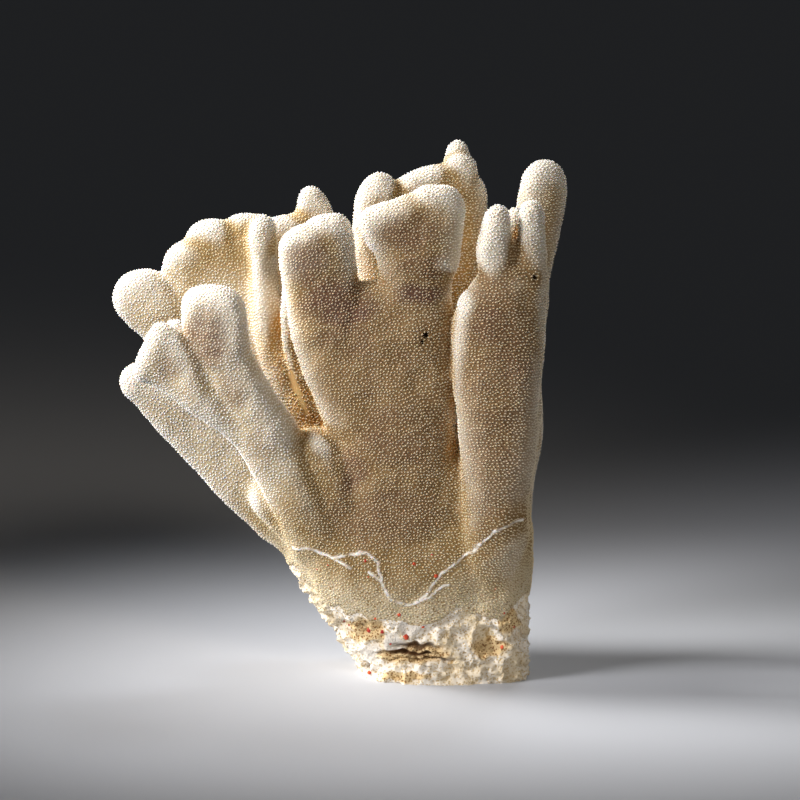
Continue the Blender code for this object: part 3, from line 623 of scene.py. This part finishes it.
def finished_mesh(bm, name):
    """Turns a bmesh into a mesh and frees it."""
    mesh = bpy.data.meshes.new(name)
    bm.to_mesh(mesh)
    bm.free()
    return mesh


def store(mesh, name, values):
    """Keeps a value for each vertex, or a direction where the values have three columns."""
    kind, key = ("FLOAT", "value") if values.ndim == 1 else ("FLOAT_VECTOR", "vector")
    layer = mesh.attributes.new(name, kind, "POINT")
    layer.data.foreach_set(key, values.astype(np.float32).ravel())


def evaluated(obj):
    """The object's mesh with its modifiers applied."""
    bpy.context.view_layer.update()
    graph = bpy.context.evaluated_depsgraph_get()
    return bpy.data.meshes.new_from_object(obj.evaluated_get(graph))


def read(items, key, width=1, kind=float):
    """One value of every item, as an array."""
    values = np.empty(len(items) * width, dtype=kind)
    items.foreach_get(key, values)
    return values.reshape(-1, width) if width > 1 else values


def averaged(values, edges, steps):
    """Values spread over the surface: each step moves every vertex halfway to its neighbours."""
    first, second = edges.T
    count = np.bincount(first, minlength=len(values)) + np.bincount(second, minlength=len(values))
    columns = values.reshape(len(values), -1).copy()
    for _ in range(steps):
        for c in range(columns.shape[1]):
            column = columns[:, c]
            total = np.bincount(first, column[second], len(column))
            total += np.bincount(second, column[first], len(column))
            columns[:, c] = 0.5 * column + 0.5 * total / np.maximum(count, 1)
    return columns.reshape(values.shape)


def grown_skin():
    """Every finger run together into one closed skin, with the valleys between them rounded."""
    bm = bmesh.new()
    for add_group in FINGER_GROUPS:
        add_group(bm)
    obj = new_object("skin", finished_mesh(bm, "fingers"))
    join = obj.modifiers.new("join", "REMESH")
    join.mode = "VOXEL"
    join.voxel_size = SKIN_CELL
    smooth = obj.modifiers.new("smooth", "SMOOTH")
    smooth.factor = 0.5
    smooth.iterations = SMOOTHING_STEPS
    obj.data = evaluated(obj)
    obj.modifiers.clear()
    return obj


def skin_edge_gap(points, across, up):
    """How far above the skin's ragged lower edge points are, in millimetres."""
    route = np.array(SKIN_EDGE)
    edge = np.interp(across, route[:, 0], route[:, 1])
    return up - edge - 2.5 * noise_at(points, 6 * MM)


def refine_details(obj):
    """Halves the cells of the foot, along the seams and round the bored holes."""
    bm = bmesh.new()
    bm.from_mesh(obj.data)
    bm.faces.ensure_lookup_table()
    centres = np.array([f.calc_center_median() for f in bm.faces])
    across, up = seen_at(centres)
    fine = skin_edge_gap(centres, across, up) < FINE_BAND
    front = centres[:, 1] < FRONT_REACH
    for route in SEAMS:
        fine |= front & (distance_to(route, across, up) < FINE_BAND)
    for x, z, radius in BORED_HOLES:
        fine |= front & (np.hypot(across - x, up - z) < FINE_HOLE_SHARE * radius)
    fine &= centres[:, 2] > -2 * MM
    edges = {edge for face, wanted in zip(bm.faces, fine) if wanted for edge in face.edges}
    bmesh.ops.subdivide_edges(bm, edges=list(edges), cuts=1, use_grid_fill=True)
    bm.to_mesh(obj.data)
    bm.free()


def sheltered(tree, points, normals):
    """How much of the space in front of each point other branches shut off, from 0 to 1."""
    golden = math.pi * (3 - math.sqrt(5))
    rays = []
    for i in range(SHELTER_RAYS):
        rise = 1 - (i + 0.5) / SHELTER_RAYS * SHELTER_SPREAD
        flat = math.sqrt(1 - rise * rise)
        rays.append((flat * math.cos(golden * i), flat * math.sin(golden * i), rise))
    shut = np.zeros(len(points))
    for i, (point, normal) in enumerate(zip(points, normals)):
        n = Vector(normal)
        side = n.orthogonal().normalized()
        other = n.cross(side)
        start = Vector(point) + n * SHELTER_START
        for a, b, c in rays:
            if tree.ray_cast(start, side * a + other * b + n * c, SHELTER_REACH)[0]:
                shut[i] += 1 / len(rays)
    return shut


def skin_tree(mesh):
    """The skin's faces, ready for rays."""
    points = [Vector(p) for p in read(mesh.vertices, "co", 3)]
    return BVHTree.FromPolygons(points, [p.vertices[:] for p in mesh.polygons])


def dress_skin(obj):
    """Adds the relief and stores what the finishes read."""
    mesh = obj.data
    points, normals = read(mesh.vertices, "co", 3), read(mesh.vertices, "normal", 3)
    edges = read(mesh.edges, "vertices", 2, np.int32)
    across, up = seen_at(points)
    gap = skin_edge_gap(points, across, up)
    crust = 1 - eased(-1.5, 1.5, gap)
    front = normals[:, 1] < 0
    near = front & (points[:, 1] < FRONT_REACH)
    bend = np.einsum("ij,ij->i", points - averaged(points, edges, BEND_STEPS), normals) / MM
    bend = averaged(bend, edges, BEND_SOFTENING)

    # Seams, bored holes and the bare strip.
    wander = 0.9 * noise_at(points, 5 * MM) + 0.3 * noise_at(points, 1.6 * MM)
    seam = np.full(len(points), np.inf)
    for route in SEAMS:
        seam = np.minimum(seam, distance_to(route, across + wander, up - wander))
    broken = 0.75 + 0.8 * noise_at(points, 2.2 * MM)
    seam = np.where(near, (1 - eased(0.2, SEAM_WIDTH, seam)) * np.clip(broken, 0.1, 1), 0)
    hole = np.zeros(len(points))
    for x, z, radius in BORED_HOLES:
        hole += np.where(near, oval(across + wander * 0.6, up, x, z, radius, radius * 1.2), 0)
    strip = 1 - eased(0.5, 1, distance_to(BARE_STRIP, across, up) / BARE_WIDTH)
    bare = np.where(near & (points[:, 1] > STRIP_REACH), strip, 0)

    # Stains, and the painted shade of the front palms, in blotches with level streaks.
    blotch = 0.5 + 0.5 * noise_at(points, 9 * MM, *FRACTAL)
    streak = noise_at(points * (0.3, 0.3, 1), 2.2 * MM)
    run_across = across + 4 * noise_at(points, 12 * MM)
    run_up = up + 2.5 * noise_at(points, 9 * MM)
    stain = strongest_oval(run_across, run_up, STAINS_AND_FRONT_SHADE) * (0.75 + 0.45 * blotch + 0.25 * streak)
    stain = np.clip(np.where(near, stain, 0.6 * eased(0.62, 0.95, blotch)), 0, 1)

    # The crust lies in level layers, so its lumps are flatter than they are wide.
    layered = points * (1, 1, 1.5)
    kinds = (RIDGED, FRACTAL, FRACTAL)
    ragged = [noise_at(layered, size * MM, *kind) for kind, (_, size) in zip(kinds, CRUST_RELIEF)]
    ragged[0] = ragged[0] - 1
    worn_across = across + 2.4 * noise_at(points, 4.5 * MM)
    worn_up = up + 1.4 * noise_at(points, 3.2 * MM)
    hollow = np.where(front, pressed_in(worn_across, worn_up, HOLLOWS), 0)
    ochre = strongest_oval(worn_across, worn_up, OCHRE_PATCHES)
    chalky = strongest_oval(worn_across, worn_up, CHALKY_PATCHES)
    crusted = sum(height * MM * lump for (height, _), lump in zip(CRUST_RELIEF, ragged))
    crusted = crusted * (1 - 0.55 * chalky) - SKIN_THICKNESS

    grown = sum(high * MM * noise_at(points, size * MM, *FRACTAL) for high, size in LUMPS)
    dented = front & (points[:, 1] < DENT_REACH)
    grown -= np.where(dented, pressed_in(across, up, DENTS), 0)
    grown += seam * SEAM_HEIGHT - hole * HOLE_DEPTH
    move = grown + (crusted - hollow - grown) * crust
    mesh.vertices.foreach_set("co", (points + normals * move[:, None]).ravel())
    mesh.update()
    # How shut in each point is by other branches: the finishes paint a warm glow there, as of light that
    # passes through and bounces between the branches.
    recess = sheltered(skin_tree(mesh), read(mesh.vertices, "co", 3), normals)
    recess = averaged(recess, edges, RECESS_SOFTENING)
    values = dict(crust=crust, bend=bend, seam=seam, hole=hole, bare=bare, stain=stain)
    values.update(recess=recess, chalky=chalky, hollow=hollow / HOLLOW_DEPTH)
    # Where the fingers are paler, partly as painted light on those that face the lamps on the left.
    values["pale"] = strongest_oval(across, up, PALE_AND_LIT_FINGERS)
    values["net"] = (1 - eased(0, NET_REACH, gap)) * (1 - crust)
    values["ragged"] = 0.5 * ragged[0] + 0.6 * ragged[1] + 0.5 * ragged[2]
    values["ochre"] = np.where(near, ochre, 0.5 + 0.5 * noise_at(points, 9 * MM))
    values["growth"] = points - np.array(GROWTH_START)
    for name, value in values.items():
        store(mesh, name, value)


def one_side(bm, point, normal, keep_above):
    """One side of a closed mesh, closed again along the cut."""
    side = bm.copy()
    parts = [*side.verts, *side.edges, *side.faces]
    plane = {"plane_co": point, "plane_no": normal, "dist": CUT_TOLERANCE}
    away = {"clear_inner": keep_above, "clear_outer": not keep_above}
    bmesh.ops.bisect_plane(side, geom=parts, **plane, **away)
    rim = [edge for edge in side.edges if edge.is_boundary]
    caps = bmesh.ops.holes_fill(side, edges=rim, sides=0)["faces"]
    capped = side.faces.layers.int["capped"]
    for cap in caps:
        cap[capped] = 1
    for edge in rim:
        edge.smooth = False
    return side


def branches(bm, stretch="colony"):
    """Every branch's closed share of a mesh, by name, cut fork after fork."""
    if stretch not in FORKS:
        return {stretch: bm}
    point, normal, below, above = FORKS[stretch]
    found = {}
    for keep_above, rest in ((False, below), (True, above)):
        side = one_side(bm, Vector(point) * MM, Vector(normal), keep_above)
        found.update(branches(side, rest))
    bm.free()
    return found


def branch_names(points, stretch="colony"):
    """The name of the branch that each point belongs to."""
    names = np.full(len(points), stretch, dtype=object)
    if stretch in FORKS:
        point, normal, below, above = FORKS[stretch]
        over = (points - np.array(point) * MM) @ np.array(normal) > 0
        names[~over] = branch_names(points[~over], below)
        names[over] = branch_names(points[over], above)
    return names


def linear(hex_colour):
    """A colour written as sRGB hex, as linear values for a shader."""
    values = [int(hex_colour[i : i + 2], 16) / 255 for i in (1, 3, 5)]
    return (*(v / 12.92 if v <= 0.04045 else ((v + 0.055) / 1.055) ** 2.4 for v in values), 1)


def add_node(tree, kind, inputs=None, **settings):
    """Adds a node with its settings. Inputs are values, or sockets of other nodes to link."""
    node = tree.nodes.new(kind)
    for key, value in settings.items():
        setattr(node, key, value)
    for key, value in (inputs or {}).items():
        if isinstance(value, bpy.types.NodeSocket):
            tree.links.new(value, node.inputs[key])
        else:
            node.inputs[key].default_value = value
    return node


def new_material(name, values):
    made = bpy.data.materials.new(name)
    made.use_nodes = True
    shader = made.node_tree.nodes["Principled BSDF"]
    for key, value in values.items():
        shader.inputs[key].default_value = value
    return made, made.node_tree, shader


def pattern(tree, kind, size, **inputs):
    """A pattern on Object coordinates whose lumps or cells have a real size."""
    spot = add_node(tree, "ShaderNodeTexCoord").outputs["Object"]
    made = add_node(tree, f"ShaderNodeTex{kind}", {"Vector": spot, "Scale": 1 / size, **inputs})
    return made.outputs["Distance" if kind == "Voronoi" else "Fac"]


def coated(tree, colour, *coats):
    """Coats laid one after another over a colour. Each has its own colour, where it lies, as a
    stored value's name or a pattern, and as a rule the two values between which it rises from
    nothing to full. A colour is a hex colour or a colour socket."""
    for over, where, *ends in coats:
        share = where
        if isinstance(where, str):
            share = add_node(tree, "ShaderNodeAttribute", attribute_name=where).outputs["Fac"]
        if ends:
            rise = {"Value": share, "From Min": ends[0], "From Max": ends[1]}
            rise = add_node(tree, "ShaderNodeMapRange", rise, interpolation_type="SMOOTHSTEP")
            share = rise.outputs["Result"]
        under, over = (linear(c) if isinstance(c, str) else c for c in (colour, over))
        inputs = {0: share, 6: under, 7: over}
        colour = add_node(tree, "ShaderNodeMix", inputs, data_type="RGBA").outputs[2]
    return colour


def surfaced(tree, shader, colour, relief=None, depth=0.0, strength=1.0):
    """Gives a finish its colour and, where it has one, its fine relief."""
    tree.links.new(colour, shader.inputs["Base Color"])
    if relief:
        inputs = {"Height": relief, "Distance": depth, "Strength": strength}
        bump = add_node(tree, "ShaderNodeBump", inputs)
        tree.links.new(bump.outputs["Normal"], shader.inputs["Normal"])


def skeleton_colour(tree, face, shade, painted_recess_glow, pale_and_lit, stained_and_shaded, rim):
    """The skeleton's colour: face and shade colours in soft random clouds on broad faces, then a painted
    warm glow in sheltered recesses, as of light that passes through and bounces between the branches; the
    pale fingers, partly bleached and partly painted light where they face the lamps on the left; stains, of
    which the broad ones on the front palms are partly painted shade;
    and rims and tips, paler and also carrying a painted rim light."""
    coats = (
        (shade, pattern(tree, "Noise", CLOUD_SIZE, Detail=3), 0.35, 0.65),
        # Painted warm glow where other branches shut a point in.
        (painted_recess_glow, "recess", 0.3, 0.75),
        # Paler fingers: partly bleached, partly painted light where they face the lamps on the left.
        (pale_and_lit, "pale"),
        (stained_and_shaded, "stain"),
        # Paler rims and tips, which also carry a painted rim light.
        (rim, "bend", 0.1, 0.6),
    )
    return coated(tree, face, *coats)


def skin_material():
    """Aragonite skeleton, grown and bleached: matt, slightly translucent, cream to honey."""
    values = {
        "Roughness": 0.78,
        "Subsurface Weight": 0.3,
        "Subsurface Radius": (1, 0.6, 0.32),
        "Subsurface Scale": 3 * MM,
    }
    made, tree, shader = new_material("bleached_aragonite_skin", values)
    # In turn: face, shade, painted recess glow, pale fingers (partly painted light), stain (partly painted
    # shade), and rims (partly painted rim light).
    ground = ("#A4885A", "#927645", "#CA9A50", "#C0AF8F", "#644533", "#DCD4C4")
    # Low on the colony pits of 0.5 mm, 1.2 mm apart, stand close in a pale net; the pits are painted
    # darker, as the shade inside them.
    pits = pattern(tree, "Voronoi", PIT_SPACING)
    net = coated(tree, "#957A50", ("#D2C3A6", pits, 0.2, 0.42))
    # The bored holes are painted almost black, as the shade inside them.
    marks = (("#C4A068", "bare"), ("#FFFDF8", "seam"), ("#3A2414", "hole"))
    colour = coated(tree, skeleton_colour(tree, *ground), (net, "net"), *marks)
    # Grains of about 0.6 mm, a little coarser than the real ones so that they show.
    grain = pattern(tree, "Noise", GRAIN_SIZE, Detail=2)
    surfaced(tree, shader, colour, grain, 0.15 * MM, 0.6)
    return made


def hood_material():
    """The corallites' hoods: fine white aragonite over a warmer, darker mouth, whose colour is painted
    shade under the hood.
    """
    values = {
        "Roughness": 0.7,
        "Subsurface Weight": 0.3,
        "Subsurface Radius": (1, 0.65, 0.4),
        "Subsurface Scale": 1.5 * MM,
    }
    made, tree, shader = new_material("white_aragonite_hoods", values)
    mouth_shade = ("#86683A", "#74562A", "#A66C26", "#7E6B4B", "#4C3526", "#B8AC96")
    # The mouth's darker colour is painted shade under the hood.
    mouth = coated(tree, skeleton_colour(tree, *mouth_shade), ("#A08558", "net"))
    white = ("#DACAAA", "#D0BE9A", "#FAE8C4", "#FFFDF8", "#BEA88E", "#F8F4EE")
    hood = skeleton_colour(tree, *white)
    # Low on the colony the mouths are wide and the hoods are no more than rims round them.
    rim, net = (
        add_node(tree, "ShaderNodeAttribute", attribute_name=name).outputs["Fac"]
        for name in ("rim", "net")
    )
    hooded = add_node(tree, "ShaderNodeMath", {0: net, 1: -0.12, 2: rim}, operation="MULTIPLY_ADD")
    surfaced(tree, shader, coated(tree, mouth, (hood, hooded.outputs[0], 0.08, 0.5)))
    return made


def crust_material():
    """Reef crust: porous white lime with ochre and brown in its hollows."""
    made, tree, shader = new_material("porous_reef_crust", {"Roughness": 0.9})
    patches = pattern(tree, "Noise", PATCH_SIZE, Detail=4)
    colour = coated(tree, "#F1EBE0", ("#E6D8BC", patches, 0.42, 0.62))
    # Pores of 0.9 mm, a little coarser than the real ones so that they show.
    rise = {"Value": pattern(tree, "Voronoi", PORE_SPACING), "From Min": 0.2, "From Max": 0.5}
    rise = add_node(tree, "ShaderNodeMapRange", rise, interpolation_type="SMOOTHSTEP")
    pore = rise.outputs["Result"]
    coats = (
        (coated(tree, "#94642A", ("#E0C798", pore)), "ochre", 0.35, 0.8),
        ("#E2DCD2", "chalky", 0.3, 0.8),
        ("#B99452", "ragged", -0.35, -1.1),
        ("#5E3E20", "hollow", 0.35, 1),
    )
    colour = coated(tree, "#D6BE8E", (colour, pore), *coats)
    surfaced(tree, shader, colour, pore, 0.3 * MM, 0.8)
    return made


def speck_material():
    """Red lime of small encrusting growths: smoother than the crust, so they shine a little."""
    made, tree, shader = new_material("red_encrusting_lime", {"Roughness": 0.45})
    shades = pattern(tree, "Noise", SPECK_SHADES)
    surfaced(tree, shader, coated(tree, "#A81E18", ("#DC5A2C", shades, 0.4, 0.6)))
    return made


def cup_mesh():
    """One corallite: a hood over a small mouth, with its foot sunk into the skin."""
    verts = [(0, 1, -0.4), (0.9, -0.6, -0.4), (-0.9, -0.6, -0.4)]
    verts += [(-0.68, 0.06, 0.5), (0, 0.44, 0.8), (0.68, 0.06, 0.5), (0, -0.26, 0.14)]
    top, low_right, low_left, hood_left, hood_top, hood_right, mouth = range(7)
    faces = [
        (top, hood_top, hood_right), (top, hood_right, low_right), (top, hood_left, hood_top),
        (top, low_left, hood_left), (hood_top, hood_left, mouth), (hood_top, mouth, hood_right),
        (hood_left, low_left, mouth), (mouth, low_left, low_right), (mouth, low_right, hood_right),
        (top, low_right, low_left),
    ]
    bm = bmesh.new()
    made = [bm.verts.new(Vector(v) * CUP_RADIUS) for v in verts]
    for face in faces:
        bm.faces.new([made[k] for k in face])
    bmesh.ops.recalc_face_normals(bm, faces=bm.faces)
    mesh = finished_mesh(bm, "cup")
    # How much of the hood's white each corner takes: the mouth and the cup's lower corners take the darker
    # mouth colour, painted shade under the hood.
    store(mesh, "rim", np.array((0.5, 0.05, 0.05, 0.9, 1, 0.9, 0)))
    return new_object("cup", mesh)


def cup_tree(cup, material):
    """Geometry Nodes that cover a skin with corallites, turned along the growth."""
    tree = bpy.data.node_groups.new("corallites", "GeometryNodeTree")
    sizes = dict.fromkeys(("Spacing", "Smallest", "Largest"), "Float")
    kinds = {"Skin": "Geometry", **sizes, "Low Growth": "Vector", "Seed": "Int"}
    for name, kind in kinds.items():
        tree.interface.new_socket(name, in_out="INPUT", socket_type=f"NodeSocket{kind}")
    tree.interface.new_socket("Corallites", in_out="OUTPUT", socket_type="NodeSocketGeometry")
    given = add_node(tree, "NodeGroupInput").outputs
    stored = [("growth", "FLOAT_VECTOR")]
    stored += [(name, "FLOAT") for name in ("net", "crust", "seam", "hole", "bare")]
    growth, net, blocked, *others = (
        add_node(tree, "GeometryNodeInputNamedAttribute", {"Name": name}, data_type=kind).outputs[0]
        for name, kind in stored
    )
    for other in others:
        most = {0: blocked, 1: other}
        blocked = add_node(tree, "ShaderNodeMath", most, operation="MAXIMUM").outputs[0]
    low, high = COVER_ENDS
    free = {"Value": blocked, "From Min": low, "From Max": high, "To Min": 1, "To Max": 0}
    spread = {
        "Mesh": given["Skin"],
        "Distance Min": given["Spacing"],
        "Density Max": CUP_DENSITY,
        "Density Factor": add_node(tree, "ShaderNodeMapRange", free).outputs["Result"],
        "Seed": given["Seed"],
    }
    spreading = "GeometryNodeDistributePointsOnFaces"
    spread = add_node(tree, spreading, spread, distribute_method="POISSON")
    turned = {"Rotation": spread.outputs["Rotation"], "Vector": growth}
    turning = "FunctionNodeAlignRotationToVector"
    turned = add_node(tree, turning, turned, axis="Y", pivot_axis="Z")
    ends = {2: given["Smallest"], 3: given["Largest"]}
    size = add_node(tree, "FunctionNodeRandomValue", ends, data_type="FLOAT").outputs[1]
    grown = {0: net, 1: given["Low Growth"], 2: (1, 1, 1)}
    grown = add_node(tree, "ShaderNodeVectorMath", grown, operation="MULTIPLY_ADD")
    scale = {0: grown.outputs["Vector"], "Scale": size}
    scale = add_node(tree, "ShaderNodeVectorMath", scale, operation="SCALE")
    placed = {
        "Points": spread.outputs["Points"],
        "Instance": add_node(tree, "GeometryNodeObjectInfo", {"Object": cup}).outputs["Geometry"],
        "Rotation": turned.outputs["Rotation"],
        "Scale": scale.outputs["Vector"],
    }
    placed = add_node(tree, "GeometryNodeInstanceOnPoints", placed)
    made = add_node(tree, "GeometryNodeRealizeInstances", {"Geometry": placed.outputs["Instances"]})
    finished = {"Geometry": made.outputs["Geometry"], "Material": material}
    finished = add_node(tree, "GeometryNodeSetMaterial", finished)
    add_node(tree, "NodeGroupOutput", {"Corallites": finished.outputs["Geometry"]})
    return tree


def corallites(skin, cup, material):
    """The corallites of the whole skin, as one plain mesh."""
    obj = new_object("corallites", skin.data)
    cover = obj.modifiers.new("cover", "NODES")
    cover.node_group = cup_tree(cup, material)
    sizes = {"Spacing": CUP_SPACING, "Smallest": CUP_SIZES[0], "Largest": CUP_SIZES[1]}
    sizes.update({"Low Growth": LOW_GROWTH, "Seed": CUP_SEED})
    for item in cover.node_group.interface.items_tree:
        if item.name in sizes:
            cover[item.identifier] = sizes[item.name]
    mesh = evaluated(obj)
    bpy.data.objects.remove(obj)
    return mesh


def corallites_by_branch(mesh, cup, material):
    """The corallites parted by the branch that each one stands on."""
    corners, sides = len(cup.data.vertices), len(cup.data.polygons)
    points = read(mesh.vertices, "co", 3).reshape(-1, corners, 3)
    shape = read(mesh.loops, "vertex_index", 1, np.int32).reshape(-1, sides * 3) % corners
    kept = ("rim", "bend", "stain", "recess", "net", "pale")
    values = {name: read(mesh.attributes[name].data, "value").reshape(-1, corners) for name in kept}
    names = branch_names(points.mean(axis=1))
    for branch in sorted(set(names)):
        mine = np.flatnonzero(names == branch)
        faces = (shape[mine] + np.arange(len(mine))[:, None] * corners).reshape(-1, 3)
        part = bpy.data.meshes.new(f"{branch}_corallites")
        part.from_pydata(points[mine].reshape(-1, 3), [], faces)
        part.shade_smooth()
        for name, value in values.items():
            store(part, name, value[mine].ravel())
        part.materials.append(material)
        finish_piece(new_object(part.name, part), branch)


def finish_piece(obj, branch):
    """Sets the body a piece rides with and hides the imported part of the node it stands for."""
    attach(obj, "root")
    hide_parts(branch)


def skin_by_branch(skin, skeleton, crust):
    """The skin, cut off flat at the floor and parted at the forks."""
    bm = bmesh.new()
    bm.from_mesh(skin.data)
    bm.faces.layers.int.new("capped")
    standing = one_side(bm, Vector((0, 0, 0)), Vector((0, 0, 1)), True)
    bm.free()
    for name, piece in branches(standing).items():
        capped = piece.faces.layers.int["capped"]
        crust_share = piece.verts.layers.float["crust"]
        for face in piece.faces:
            crusted = sum(vert[crust_share] for vert in face.verts) / len(face.verts)
            face.material_index = int(crusted > 0.5)
            face.smooth = not face[capped]
        bmesh.ops.triangulate(piece, faces=[face for face in piece.faces if face[capped]])
        mesh = finished_mesh(piece, f"{name}_skin")
        for unread in ("growth", "capped"):
            mesh.attributes.remove(mesh.attributes[unread])
        mesh.materials.append(skeleton)
        mesh.materials.append(crust)
        obj = new_object(mesh.name, mesh)
        finish_piece(obj, name)


def red_specks(tree):
    """Small red crusts that sit on the foot and the low skin."""
    bm = bmesh.new()
    eye = eye_point()
    for across, up, radius in RED_SPECKS:
        hit, normal, _, _ = tree.ray_cast(eye, on_view_plane(across, up) - eye)
        if hit is None:
            continue
        turn = normal.to_track_quat("Z", "Y").to_matrix()
        ball = bmesh.ops.create_icosphere(bm, subdivisions=2, radius=radius * MM)["verts"]
        for vert in ball:
            lumpy = 1 + 0.3 * noise.noise(vert.co / (0.5 * MM) + hit * 500)
            flat = Vector((vert.co.x * lumpy, vert.co.y * lumpy, vert.co.z * 0.55))
            vert.co = turn @ flat + hit
    mesh = finished_mesh(bm, "red_specks")
    mesh.shade_smooth()
    mesh.materials.append(speck_material())
    finish_piece(new_object("red_specks", mesh), "reef_foot")


def studio():
    """A plain pale floor, soft lights and the measured view's camera."""
    bm = bmesh.new()
    bmesh.ops.create_grid(bm, x_segments=1, y_segments=1, size=FLOOR_REACH)
    mesh = finished_mesh(bm, "floor")
    # Matt paint: an even pale ground that takes soft shadows.
    values = {"Roughness": 0.75, "Base Color": linear("#BABFC8")}
    mesh.materials.append(new_material("matt_floor_paint", values)[0])
    new_object("floor", mesh)
    scene = bpy.context.scene
    scene.world = world = bpy.data.worlds.new("studio")
    world.use_nodes = True
    surround = world.node_tree.nodes["Background"].inputs
    surround["Color"].default_value = linear("#FFFFFF")
    surround["Strength"].default_value = SURROUND_LIGHT
    scene.view_settings.view_transform = "Standard"
    for name, colour, watts, size, spread, spot in LIGHTS:
        light = bpy.data.lights.new(name, "AREA")
        light.color = linear(colour)[:3]
        light.energy = watts
        light.size = size
        light.spread = math.radians(spread)
        lamp = new_object(name, light)
        lamp.location = spot
        lamp.rotation_euler = (Vector(LIGHT_AIM) - Vector(spot)).to_track_quat("-Z", "Y").to_euler()
    lens = bpy.data.cameras.new("camera")
    lens.sensor_width = SENSOR
    lens.lens = SENSOR * VIEW_DISTANCE / (FRAME_PIXELS / PIXELS_PER_MM)
    lens.clip_end = 20
    camera = new_object("camera", lens)
    camera.location = eye_point()
    camera.rotation_euler = view_axes()[2].to_track_quat("-Z", "Y").to_euler()
    scene.camera = camera


def main():
    skin = grown_skin()
    refine_details(skin)
    dress_skin(skin)
    hoods = hood_material()
    cup = cup_mesh()
    cups = corallites(skin, cup, hoods)
    corallites_by_branch(cups, cup, hoods)
    skin_by_branch(skin, skin_material(), crust_material())
    red_specks(skin_tree(skin.data))
    bpy.data.objects.remove(skin)
    bpy.data.objects.remove(cup)
    studio()


main()
